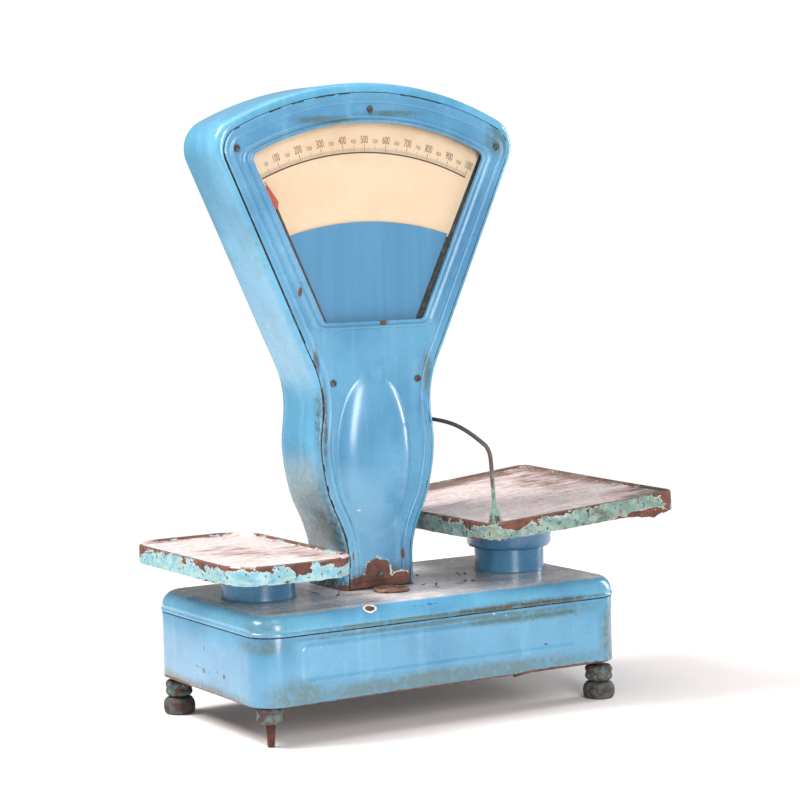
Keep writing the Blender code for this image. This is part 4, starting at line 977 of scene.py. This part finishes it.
def make_band():
    seam = tower_outline(0.0)
    outer = tower_outline(BAND_SIDE)
    inner = tower_outline(-0.007)
    lip = 0.008
    sheet = 0.002
    rings = []
    for (sx, sz), (ox, oz), (ix, iz) in zip(seam, outer, inner):
        wall = Vector((ox - sx, oz - sz))
        inward = Vector((ix - sx, iz - sz))
        thick = wall * (1 - sheet / wall.length)
        ring = []
        for sign in (-1, 1):
            arc = [(wall * math.sin(a), sign * (TOWER_HALF - lip * (1 - math.cos(a)))) for a in quarter(9)]
            ring += arc if sign < 0 else list(reversed(arc))
        ring += [(inward * 0, TOWER_HALF - sheet), (inward, TOWER_HALF - sheet),
                 (inward, TOWER_HALF - 1.8 * sheet), (thick, TOWER_HALF - 1.8 * sheet),
                 (thick, -TOWER_HALF + 1.8 * sheet), (inward, -TOWER_HALF + 1.8 * sheet),
                 (inward, -TOWER_HALF + sheet), (inward * 0, -TOWER_HALF + sheet)]
        rings.append([(sx + d[0], y, sz + d[1]) for d, y in ring])
    bm = bmesh.new()
    add_loft(bm, rings)
    marks = [
        tower_spot("grime_and_shade", -0.060, 0, 0.200, 0.060, 0.080, 0.075), tower_spot("dirt", -0.046, 0, 0.136, 0.060, 0.090, 0.066),
        tower_spot("dirt", -0.042, 0.005, 0.112, 0.050, 0.07, 0.032),
        tower_spot("soot_and_shade", -0.042, 0.0, 0.106, 0.016, 0.050, 0.010), tower_spot("dirt", -0.056, -0.02, 0.165, 0.030, 0.040, 0.040),
        tower_spot("dirt", 0.046, 0, 0.115, 0.030, 0.060, 0.030), tower_spot("chip", -0.049, -0.034, 0.118, 0.006, 0.003, 0.003),
        tower_spot("rust", -0.042, -0.040, 0.103, 0.010, 0.020, 0.004),
        tower_spot("dirt", -0.070, -0.040, 0.290, 0.012, 0.008, 0.060),
    ]
    finish = enamel("band_enamel", marks, rgb(92, 160, 194), rgb(72, 136, 172), specks=0.35, patina=0.6, grain=0.14)
    band = piece("band_shell", bm, "base", [finish, SEAM_AND_SHADE], ["tower_band"], TOWER_PLACE)
    # The band's inside and back lip take the dark seam finish: painted shade for the shadowed gap seen beside the dial.
    for polygon in band.data.polygons[:-2]:
        if polygon.index % len(rings[0]) >= BAND_SKIN:
            polygon.material_index = 1
    return band


def tower_spot(kind, x, y, z, *radii):
    """A mark for enamel(), given in the tower's frame."""
    return kind, tuple(TOWER_PLACE @ Vector((x, y, z))), radii


EDGE_BEAD = ((-0.0005, 0.0), (-0.0008, 0.0007), (-0.0018, 0.0013), (-0.0034, 0.0016), (-0.0056, 0.0016),
             (-0.0076, 0.0014), (-0.0086, 0.0017), (-0.0096, 0.0024), (-0.0106, 0.0026), (-0.0116, 0.0022),
             (-0.0125, 0.0012), (-0.0131, 0.0003), (-0.0134, 0.0), (-0.0137, 0.0))
WINDOW_FRAME = ((0.0173, 0.0), (0.0168, 0.0), (0.0160, 0.0003), (0.0148, 0.0013), (0.0130, 0.0023), (0.0112, 0.0027),
                (0.0098, 0.0023), (0.0086, 0.0013), (0.0074, 0.0009), (0.0062, 0.0013), (0.0048, 0.0024),
                (0.0032, 0.0030), (0.0016, 0.0027), (0.0005, 0.0016), (0.0, 0.0002), (0.0, -0.0012))
BULGE_DOME = ((1.05, 0.0), (1.02, 0.0), (0.995, 0.0004), (0.96, 0.0018), (0.92, 0.0036), (0.87, 0.0055),
              (0.79, 0.0077), (0.69, 0.0097), (0.56, 0.0113), (0.42, 0.0124), (0.27, 0.0131), (0.12, 0.0134))
FRAME_FLATTEN = 0.58


def frame_outline(offset):
    """The window frame's outline: narrower above and below the window than at its sides."""
    points = []
    for (x0, z0), (x1, z1) in zip(window_outline(0.0), window_outline(offset)):
        points.append((x1, z0 + (z1 - z0) * FRAME_FLATTEN))
    return points


def make_cover(side, place):
    """A pressed cover: edge bead, stepped window frame and oval bulge, turned in round the window."""
    bm = bmesh.new()
    front = -TOWER_HALF

    def ring(outline, rise):
        return [bm.verts.new((x, front - rise, z)) for x, z in outline]

    def skin(rows):
        for low, high in zip(rows, rows[1:]):
            for i in range(len(low)):
                j = (i + 1) % len(low)
                bm.faces.new((low[i], low[j], high[j], high[i]))

    def loop_edges(row):
        return [bm.edges.get(pair) or bm.edges.new(pair) for pair in zip(row, row[1:] + row[:1])]

    edge = [ring(tower_outline(d, -d), rise) for d, rise in EDGE_BEAD]
    window = [ring(frame_outline(d), rise) for d, rise in WINDOW_FRAME]
    dome = [ring(ellipse(*BULGE_HALF, BULGE, 96, scale), 0.0) for scale, rise in BULGE_DOME]
    for row, (scale, rise) in zip(dome, BULGE_DOME):
        for v in row:
            low = min(max((BULGE[1] - v.co.z) / BULGE_HALF[1] - 0.35, 0.0) / 0.65, 1.0)
            soft = 0.0134 * max(0.0, 1 - scale * scale) ** 1.6
            v.co.y = front - (rise + (soft - rise) * low)
    for rows in (edge, window, dome):
        skin(rows)
    bm.faces.new(dome[-1])
    edges = loop_edges(edge[-1]) + loop_edges(window[0]) + loop_edges(dome[0])
    for hole_place in SCREW_PLACES.values():
        hole = [ring(circle(radius, 20, hole_place), 0.0) for radius in (0.0026, 0.0023)]
        skin(hole)
        edges += loop_edges(hole[0])
    bmesh.ops.triangle_fill(bm, use_beauty=True, edges=edges)
    bmesh.ops.recalc_face_normals(bm, faces=bm.faces[:])
    if sum(f.normal.y * f.calc_area() for f in bm.faces) > 0:
        bmesh.ops.reverse_faces(bm, faces=bm.faces[:])
    foot = -0.047
    marks = [
        tower_spot("flake", -0.003, foot, 0.1130, 0.0180, 0.05, 0.0225), tower_spot("flake", -0.002, foot, 0.098, 0.060, 0.05, 0.0165),
        tower_spot("flake", -0.024, foot, 0.104, 0.024, 0.05, 0.0120), tower_spot("flake", 0.028, foot, 0.104, 0.020, 0.05, 0.0125),
        tower_spot("rust", -0.0361, foot, 0.1392, 0.0011, 0.03, 0.0048), tower_spot("rust", 0.0300, foot, 0.1370, 0.0021, 0.03, 0.0072),
        tower_spot("rust", 0.0111, foot, 0.4045, 0.0048, 0.03, 0.0034), tower_spot("dirt", 0.0, foot, 0.112, 0.060, 0.05, 0.020),
        tower_spot("grime_and_shade", 0.175, foot, 0.612, 0.024, 0.05, 0.024),
        tower_spot("grime_and_shade", 0.068, foot, 0.345, 0.010, 0.05, 0.030),
        tower_spot("dirt", -0.069, foot, 0.290, 0.005, 0.03, 0.060), tower_spot("dirt", -0.078, foot, 0.360, 0.005, 0.03, 0.030),
        tower_spot("rust", -0.0965, foot, 0.4430, 0.0022, 0.03, 0.0060), tower_spot("soot_and_shade", 0.118, foot, 0.627, 0.0022, 0.03, 0.0016),
        tower_spot("grime_and_shade", 0.030, foot, 0.6415, 0.050, 0.03, 0.0050), tower_spot("grime_and_shade", -0.060, foot, 0.634, 0.050, 0.03, 0.0060),
    ]
    for x, z in SCREW_PLACES.values():
        marks.append(tower_spot("soot_and_shade", x, foot, z, 0.0052, 0.03, 0.0052))
    if side == "rear":
        marks = [(kind, (x, y - 2 * foot, z), radii) for kind, (x, y, z), radii in marks]
    finish = enamel(side + "_cover_enamel", marks, specks=0.25, patina=0.2)
    cover = piece(side + "_cover_shell", bm, "base", [finish, SEAM_AND_SHADE], [side + "_cover"], place, 50.0)
    edge_rows = len(tower_outline(0.0))
    for polygon in cover.data.polygons[:2 * edge_rows]:
        rough_edge = noise.noise(polygon.center * 70) > 0.12
        if polygon.index < edge_rows or rough_edge:
            polygon.material_index = 1
    solidify = cover.modifiers.new("sheet", "SOLIDIFY")
    solidify.thickness = 0.0012
    solidify.offset = -1.0
    return cover


def make_screws():
    """Slotted screw heads on both covers, with the tie bolt between them."""
    end = TOWER_HALF
    dome = [(0.0034 * math.cos(a) + 0.0002, end + 0.0010 + 0.0016 * math.sin(a)) for a in reversed(quarter(6))]
    head = dome + [(0.0036, end + 0.0004), (0.0034, end + GAP), (0.0020, end + GAP), (0.0020, end - 0.0045),
                   (0.0036, end - 0.0045)]
    profile = [(r, -y) for r, y in head] + [(r, y) for r, y in reversed(head)]
    finish = rusted("screw_rust", rgb(78, 104, 118), 0.34, deep=True)
    for k, (name, (x, z)) in enumerate(SCREW_PLACES.items()):
        bm = bmesh.new()
        add_lathe(bm, profile, 32, "Y")
        slots = bmesh.new()
        for sign in (-1, 1):
            y = sorted((sign * (end + 0.0016), sign * (end + 0.0040)))
            add_box(slots, (-0.0055, y[0], -0.0005), (0.0055, y[1], 0.0005))
        slots.transform(Matrix.Rotation(math.radians(35 + 67 * k), 4, "Y"))
        bm = combine(bm, slots, "DIFFERENCE")
        place = TOWER_PLACE @ Matrix.Translation((x, 0, z))
        piece("screw_" + name, bm, "base", finish, ["tie_bolt_" + name], place)


# The dial -----------------------------------------------------------------------------

def scale_angle(grams, mirrored):
    a = math.radians(SCALE_ANGLE * (grams / 500 - 1))
    return -a if mirrored else a


def add_mark(bm, a, inner, outer, width, face, thick):
    """A thin raised bar along a radius of the scale."""
    along = Vector((math.sin(a), math.cos(a)))
    across = Vector((math.cos(a), -math.sin(a))) * (width / 2)
    pivot = Vector((0, PIVOT_Z))
    corners = [pivot + along * inner - across, pivot + along * inner + across,
               pivot + along * outer + across, pivot + along * outer - across]
    add_prism(bm, [tuple(c) for c in corners], face - thick, face, "Y")


def number_mesh(text):
    """The outline of a number as a flat mesh, 1 high, centred on its own box."""
    curve = bpy.data.curves.new("number", "FONT")
    curve.body = text
    obj = bpy.data.objects.new("number", curve)
    bpy.context.scene.collection.objects.link(obj)
    graph = bpy.context.evaluated_depsgraph_get()
    bm = bmesh.new()
    bm.from_mesh(obj.evaluated_get(graph).to_mesh())
    bpy.data.objects.remove(obj)
    xs = [v.co.x for v in bm.verts]
    ys = [v.co.y for v in bm.verts]
    high = max(ys) - min(ys)
    for v in bm.verts:
        v.co = Vector(((v.co.x - (min(xs) + max(xs)) / 2) / high, (v.co.y - (min(ys) + max(ys)) / 2) / high, 0))
    return bm


def make_scale_print(side, place, face, ink, line):
    """The scale: an arc with a stroke every 5 g, and generic numbers every 50 g."""
    mirrored = side == "rear"
    thick = 0.00012
    bm = bmesh.new()
    steps = 96
    width = 0.0017
    arc = []
    for radius, order in ((SCALE_RADIUS + width / 2, 1), (SCALE_RADIUS - width / 2, -1)):
        row = []
        for i in range(steps + 1):
            a = math.radians(SCALE_ANGLE * 1.006 * (2 * i / steps - 1))
            row.append((radius * math.sin(a), PIVOT_Z + radius * math.cos(a)))
        arc += row[::order]
    add_prism(bm, arc, face - thick, face, "Y")
    piece(side + "_scale_arc", bm, "base", line, (), place)
    bm = bmesh.new()
    for grams in range(0, 1001, 5):
        if grams % 50 == 0:
            length, stroke = (0.0080, 0.0006) if grams % 100 == 0 else (0.0066, 0.0005)
        else:
            length, stroke = (0.0044, 0.00036) if grams % 10 == 0 else (0.0034, 0.00030)
        add_mark(bm, scale_angle(grams, mirrored), SCALE_RADIUS + 0.0012, SCALE_RADIUS + 0.0012 + length,
                 stroke, face, thick)
    piece(side + "_scale_strokes", bm, "base", ink, (), place)

    whole = bmesh.new()
    for grams in range(0, 1001, 50):
        large = grams % 100 == 0
        height, narrow = (0.0088, 0.52) if large else (0.0044, 0.70)
        if grams == 1000:
            narrow = 0.42
        radius = SCALE_RADIUS + (0.0148 if large else 0.0128)
        a = scale_angle(grams, mirrored)
        number = number_mesh(str(grams))
        turn = Matrix.Rotation(a, 4, "Y") @ Matrix.Rotation(math.pi / 2, 4, "X")
        spot_place = Matrix.Translation((radius * math.sin(a), face - thick, PIVOT_Z + radius * math.cos(a)))
        number.transform(spot_place @ turn @ Matrix.Diagonal((height * narrow, height, 1, 1)))
        mesh = bpy.data.meshes.new("number")
        number.to_mesh(mesh)
        number.free()
        whole.from_mesh(mesh)
        bpy.data.meshes.remove(mesh)
    extruded = bmesh.ops.extrude_face_region(whole, geom=whole.faces[:])
    moved = [v for v in extruded["geom"] if isinstance(v, bmesh.types.BMVert)]
    bmesh.ops.translate(whole, verts=moved, vec=(0, thick * 0.9, 0))
    bmesh.ops.recalc_face_normals(whole, faces=whole.faces[:])
    piece(side + "_scale_numbers", whole, "base", ink, (), place)


DIAL_WIDEN = 1.03


def make_pointer(side, place, finish):
    """A thin blade with an arrow head; it hangs just left of zero on the front scale."""
    y = -TOWER_HALF + 0.0082
    blade = [(0.0022, 0.009), (0.0016, 0.2860), (0.0056, 0.2925), (0.0050, 0.2960), (0.0014, 0.3130),
             (0.0004, 0.3160), (0.0004, 0.3200)]
    outline = [(0.0090 * math.sin(math.radians(a)), 0.0090 * math.cos(math.radians(a))) for a in range(20, 341, 10)]
    outline += [(-x, z) for x, z in blade] + list(reversed(blade))
    bm = bmesh.new()
    add_prism(bm, outline, y, y + 0.0007, "Y", [circle(0.0030, 32)])
    rest = math.radians(POINTER_REST if side == "front" else -POINTER_REST)
    turn = Matrix.Rotation(rest, 4, "Y")
    pivot = TOWER_PLACE if side == "front" else REAR_PLACE
    piece(side + "_pointer_blade", bm, "pointers", finish, [side + "_pointer"],
          pivot @ Matrix.Translation((0, 0, PIVOT_Z)) @ turn)


def make_dials():
    lacquer = dial_finish()
    blue = mask_finish()
    red = pointer_finish()
    clear = glass_finish()
    ink = ink_finish("scale_ink", rgb(62, 46, 38), rgb(116, 92, 72))
    line = ink_finish("arc_ink", rgb(40, 32, 30), rgb(64, 52, 46))
    face = -TOWER_HALF + 0.0137
    for side, place in (("front", TOWER_PLACE), ("rear", REAR_PLACE)):
        carry_over(side + "_dial", "base", lacquer, 0.0, DIAL_WIDEN)
        carry_over(side + "_mask", "base", blue, 0.0, DIAL_WIDEN)
        carry_over(side + "_glass", "base", clear, 0.0)
        make_pointer(side, place, red)
        make_scale_print(side, place, face, ink, line)


# The pans -----------------------------------------------------------------------------

TRAY_FLOOR = ((-0.0280, 0.0), (-0.0120, 0.0), (-0.0092, 0.0), (-0.0074, 0.0003), (-0.0060, 0.0013))
TRAY_RIM = ((-0.0048, -0.0014), (-0.0038, -0.0005), (-0.0028, 0.0), (-0.0018, -0.0001), (-0.0009, -0.0007),
            (-0.0003, -0.0016), (0.0, -0.0030))


def make_tray(name, size, corner, place, body, materials, ragged, bend=0.0):
    """A pan; ragged(x, y) says how far the flange's lower edge is eaten away or hangs down there.
    Its back right corner is bent up by bend."""
    t = PAN_SHEET
    sections = [(d, -PAN_RECESS + z) for d, z in TRAY_FLOOR] + list(TRAY_RIM)
    floor_rings = len(TRAY_FLOOR)
    sections += [(0.0, -PAN_FLANGE * 0.35), (0.0, -PAN_FLANGE * 0.60), (0.0, -PAN_FLANGE * 0.80),
                 (0.0, -PAN_FLANGE * 0.92), (-0.0002, -PAN_FLANGE), (-t, -PAN_FLANGE),
                 (-t, -PAN_FLANGE * 0.80), (-t, -0.0046), (-0.0035, -0.0030), (-0.0062, -PAN_RECESS - t),
                 (-0.0120, -PAN_RECESS - t)]
    rings = []
    for offset, z in sections:
        ring = []
        for x, y in rounded_rect(*size, corner, offset, 14, 64):
            depth = max(0.0, (-z - PAN_FLANGE * 0.55) / (PAN_FLANGE * 0.45))
            dent = 0.0006 * max(0.0, noise.noise(Vector((x * 38, y * 38, 2.0)))) if z < -0.003 else 0.0
            pull = 1 - dent / size[0] * 2
            lift = bend * max(0.0, (x / size[0] + 0.5) * (y / size[1] + 0.5)) ** 1.4
            ring.append((x * pull, y * pull, z + lift + min(depth, 1.0) * ragged(x, y)))
        rings.append(ring)
    bm = bmesh.new()
    add_loft(bm, rings)
    bm.faces.ensure_lookup_table()
    inner_x = size[0] / 2 - 0.0062
    inner_y = size[1] / 2 - 0.0062
    for f in bm.faces:
        centre = f.calc_center_median()
        inside = abs(centre.x) < inner_x and abs(centre.y) < inner_y
        f.material_index = 0 if inside and f.normal.z > 0.3 else 1
    return piece(name + "_tray", bm, body, materials, [name], place, 40.0)


def goods_rag(x, y):
    """Torn at the front left corner, a hanging rusty scrap at the front right, chewed elsewhere."""
    chewed = 0.0007 * (1 + noise.noise(Vector((x * 110, y * 110, 0.0))))
    near_torn = math.exp(-((x + GOODS_SIZE[0] / 2 - 0.012) / 0.030) ** 2 - ((y + GOODS_SIZE[1] / 2 - 0.012) / 0.035) ** 2)
    torn = near_torn * 0.0048 * max(0.0, 0.35 + noise.noise(Vector((x * 260, y * 260, 5.0))))
    near_scrap = math.exp(-((x - 0.092) / 0.026) ** 2 - ((y + GOODS_SIZE[1] / 2) / 0.02) ** 2)
    scrap = near_scrap * 0.0060 * (0.8 + 0.6 * noise.noise(Vector((x * 170, y * 170, 9.0))))
    return chewed + torn - scrap


def weights_rag(x, y):
    return 0.0008 * (1 + noise.noise(Vector((x * 90, y * 90, 3.0))))


def make_pans():
    goods_half = (GOODS_SIZE[0] / 2, GOODS_SIZE[1] / 2)
    weights_half = (WEIGHTS_SIZE[0] / 2, WEIGHTS_SIZE[1] / 2)
    goods_stains = (((0.095, 0.050), (0.075, 0.120)), ((0.020, 0.140), (0.120, 0.030)), ((0.10, -0.12), (0.05, 0.05)))
    goods = [
        pan_floor("goods_floor", GOODS_PLACE, goods_half, 0.75, goods_stains),
        # The goods flange's 0.75 of dark mottling is soot together with painted shade from the tower.
        pan_side("goods_flange", GOODS_PLACE, 0.80, rgb(100, 134, 126), rgb(138, 158, 152), rgb(118, 112, 84), 0.75,
                 (((0.092, -0.158, -0.022), (0.050, 0.02, 0.0085)), ((0.125, -0.150, -0.010), (0.020, 0.03, 0.012)),
                  ((-0.10, -0.158, -0.005), (0.020, 0.02, 0.008)), ((-0.125, -0.14, -0.022), (0.03, 0.03, 0.005)))),
    ]
    weights_stains = (((0.0, 0.0), (0.050, 0.080)), ((0.050, -0.06), (0.03, 0.08)))
    weights = [
        pan_floor("weights_floor", WEIGHTS_PLACE, weights_half, 0.55, weights_stains),
        pan_side("weights_flange", WEIGHTS_PLACE, 0.85, rgb(112, 164, 182), rgb(144, 182, 182), rgb(140, 146, 104), 0.25,
                 (((-0.0785, 0.120, -0.008), (0.01, 0.030, 0.012)), ((0.0, -0.139, -0.008), (0.016, 0.02, 0.010)))),
    ]
    make_tray("goods_pan", GOODS_SIZE, 0.016, GOODS_PLACE, "goods_carrier", goods, goods_rag, 0.006)
    make_tray("weights_pan", WEIGHTS_SIZE, 0.045, WEIGHTS_PLACE, "weights_carrier", weights, weights_rag)
    bar = rusted("bar_rust", rgb(70, 100, 110), 0.25, deep=True)
    carry_over("goods_support", "goods_carrier", bar, 0.0006)
    carry_over("weights_support", "weights_carrier", bar, 0.0006)


def smooth_path(points, parts):
    """A Catmull-Rom curve through the points, parts steps between each two."""
    path = []
    last = len(points) - 1
    for i in range(last):
        p0, p1, p2, p3 = (Vector(points[min(max(k, 0), last)]) for k in (i - 1, i, i + 1, i + 2))
        for k in range(parts):
            t = k / parts
            path.append(0.5 * (2 * p1 + (p2 - p0) * t + (2 * p0 - 5 * p1 + 4 * p2 - p3) * t * t
                               + (3 * p1 - p0 - 3 * p2 + p3) * t**3))
    path.append(Vector(points[-1]))
    return path


def make_guard():
    guard_x = -0.1068
    half_span = 0.1307
    floor = -PAN_RECESS + GAP
    foot = floor + 0.0100
    half_path = [(half_span, foot), (half_span, 0.040), (half_span, 0.064), (0.1296, 0.0735),
                 (0.1255, 0.0800), (0.1180, 0.0850), (0.0850, 0.0972), (0.0500, 0.1045)]
    path = [(guard_x, -y, z) for y, z in half_path] + [(guard_x, 0, 0.1068)]
    path += [(guard_x, y, z) for y, z in reversed(half_path)]
    bm = bmesh.new()
    add_tube(bm, smooth_path(path, 6), 0.0024, 20)
    for v in bm.verts:
        v.co += Vector((1, 1, 0)) * 0.00015 * noise.noise(v.co * 400)
    profile = [(0.0078, floor), (0.0082, floor + 0.0006), (0.0081, floor + 0.0016), (0.0074, floor + 0.0026),
               (0.0070, floor + 0.0036), (0.0066, floor + 0.0078), (0.0060, floor + 0.0100),
               (0.0046, floor + 0.0130), (0.0036, floor + 0.0148), (0.0030, floor + 0.0154)]
    for y in (-half_span, half_span):
        sleeve = bmesh.new()
        add_lathe(sleeve, profile, 40, centre=(guard_x, y, 0))
        bm = combine(bm, sleeve, "UNION")
    piece("guard_wire", bm, "goods_carrier", guard_finish(), ["goods_guard"], GOODS_PLACE)


# The mechanism inside ---------------------------------------------------------------------

def make_mechanism():
    iron = metal("cast_iron", rgb(84, 80, 78), rgb(58, 50, 46), 0.55, 0.6)
    steel = metal("ground_steel", rgb(170, 170, 172), rgb(120, 112, 106), 0.26)
    brass = metal("turned_brass", rgb(190, 152, 84), rgb(132, 98, 52), 0.24)
    rust = rusted("lever_rust")
    finishes = {"cast_iron": iron, "steel": steel, "brass": brass, "rust": rust}
    slots = {s["node"]: s["material_slot"] for s in frame["record"]["subparts"]}
    bodies = frame["record"]["behaviour"]["bodies"]
    for body, nodes in bodies.items():
        for node in nodes:
            shown = not frame["nodes"][node].hide_render
            if shown and slots[node] in finishes:
                carry_over(node, body, finishes[slots[node]])


# The room -------------------------------------------------------------------------------

def make_camera():
    turn, dip, roll = (math.radians(a) for a in (-31.2536, 4.4962, -1.2704))
    back = Vector((math.sin(turn) * math.cos(dip), -math.cos(turn) * math.cos(dip), math.sin(dip)))
    right = (-back).cross(Vector((0, 0, 1))).normalized()
    up = right.cross(-back)
    side = right * math.cos(roll) + up * math.sin(roll)
    top = up * math.cos(roll) - right * math.sin(roll)
    camera = bpy.data.objects.new("camera", bpy.data.cameras.new("camera"))
    camera.data.lens = 106.97
    camera.data.sensor_width = 36
    camera.matrix_world = Matrix.Translation((-1.42882, -2.35873, 0.57342)) @ Matrix(
        (side, top, back)).transposed().to_4x4()
    bpy.context.scene.collection.objects.link(camera)
    bpy.context.scene.camera = camera


def add_light(name, place, target, size, power, colour=(1, 1, 1)):
    data = bpy.data.lights.new(name, "AREA")
    data.shape = "RECTANGLE"
    data.size, data.size_y = size
    data.energy = power
    data.color = colour
    light = bpy.data.objects.new(name, data)
    light.location = place
    light.rotation_euler = (Vector(target) - Vector(place)).to_track_quat("-Z", "Y").to_euler()
    bpy.context.scene.collection.objects.link(light)


def make_room():
    s = Shader("pale_floor")
    grain = s.noise(3.0, 2.0)
    shade = s.mix(grain, rgb(248, 240, 238), rgb(250, 243, 241))
    far = s.step(s.near((0.0, 0.0, 0.0), (1.0, 1.0, 1.0)), 1.1, 2.2)
    material = s.finish(shade, 0.6, alpha=s.less(1.0, far))
    bm = bmesh.new()
    bmesh.ops.create_circle(bm, cap_ends=True, segments=64, radius=2.3)
    mesh = bpy.data.meshes.new("floor")
    bm.to_mesh(mesh)
    bm.free()
    mesh.materials.append(material)
    floor = bpy.data.objects.new("floor", mesh)
    floor.location.z = -0.0002
    bpy.context.scene.collection.objects.link(floor)
    add_light("key", (-1.65, 0.7, 2.3), (0, 0, 0.25), (1.2, 1.2), 112, (1.0, 0.985, 0.96))
    add_light("front_right", (-0.50, -2.65, 1.15), (0, 0, 0.3), (0.8, 1.8), 66)
    add_light("right_strip", (2.4, -0.1, 0.9), (0, 0, 0.3), (0.5, 1.6), 30)
    add_light("overhead", (-0.3, -0.4, 2.6), (0, 0, 0), (1.6, 1.6), 22)
    add_world(0.34)


def add_world(strength):
    """A white surround: full white to the camera, dimmer as a light."""
    world = bpy.data.worlds.new("studio")
    world.use_nodes = True
    tree = world.node_tree
    background = tree.nodes["Background"]
    background.inputs["Color"].default_value = (1, 1, 1, 1)
    seen = tree.nodes.new("ShaderNodeLightPath").outputs["Is Camera Ray"]
    level = tree.nodes.new("ShaderNodeMapRange")
    tree.links.new(seen, level.inputs["Value"])
    level.inputs["To Min"].default_value = strength
    level.inputs["To Max"].default_value = 1.05
    tree.links.new(level.outputs[0], background.inputs["Strength"])
    bpy.context.scene.world = world
    bpy.context.scene.view_settings.view_transform = "Standard"


make_camera()
make_room()
make_housing()
make_lid()
make_collars()
make_feet()
make_level_cap()
make_crumbs()
make_band()
make_cover("front", TOWER_PLACE)
make_cover("rear", REAR_PLACE)
make_screws()
make_dials()
make_pans()
make_guard()
make_mechanism()
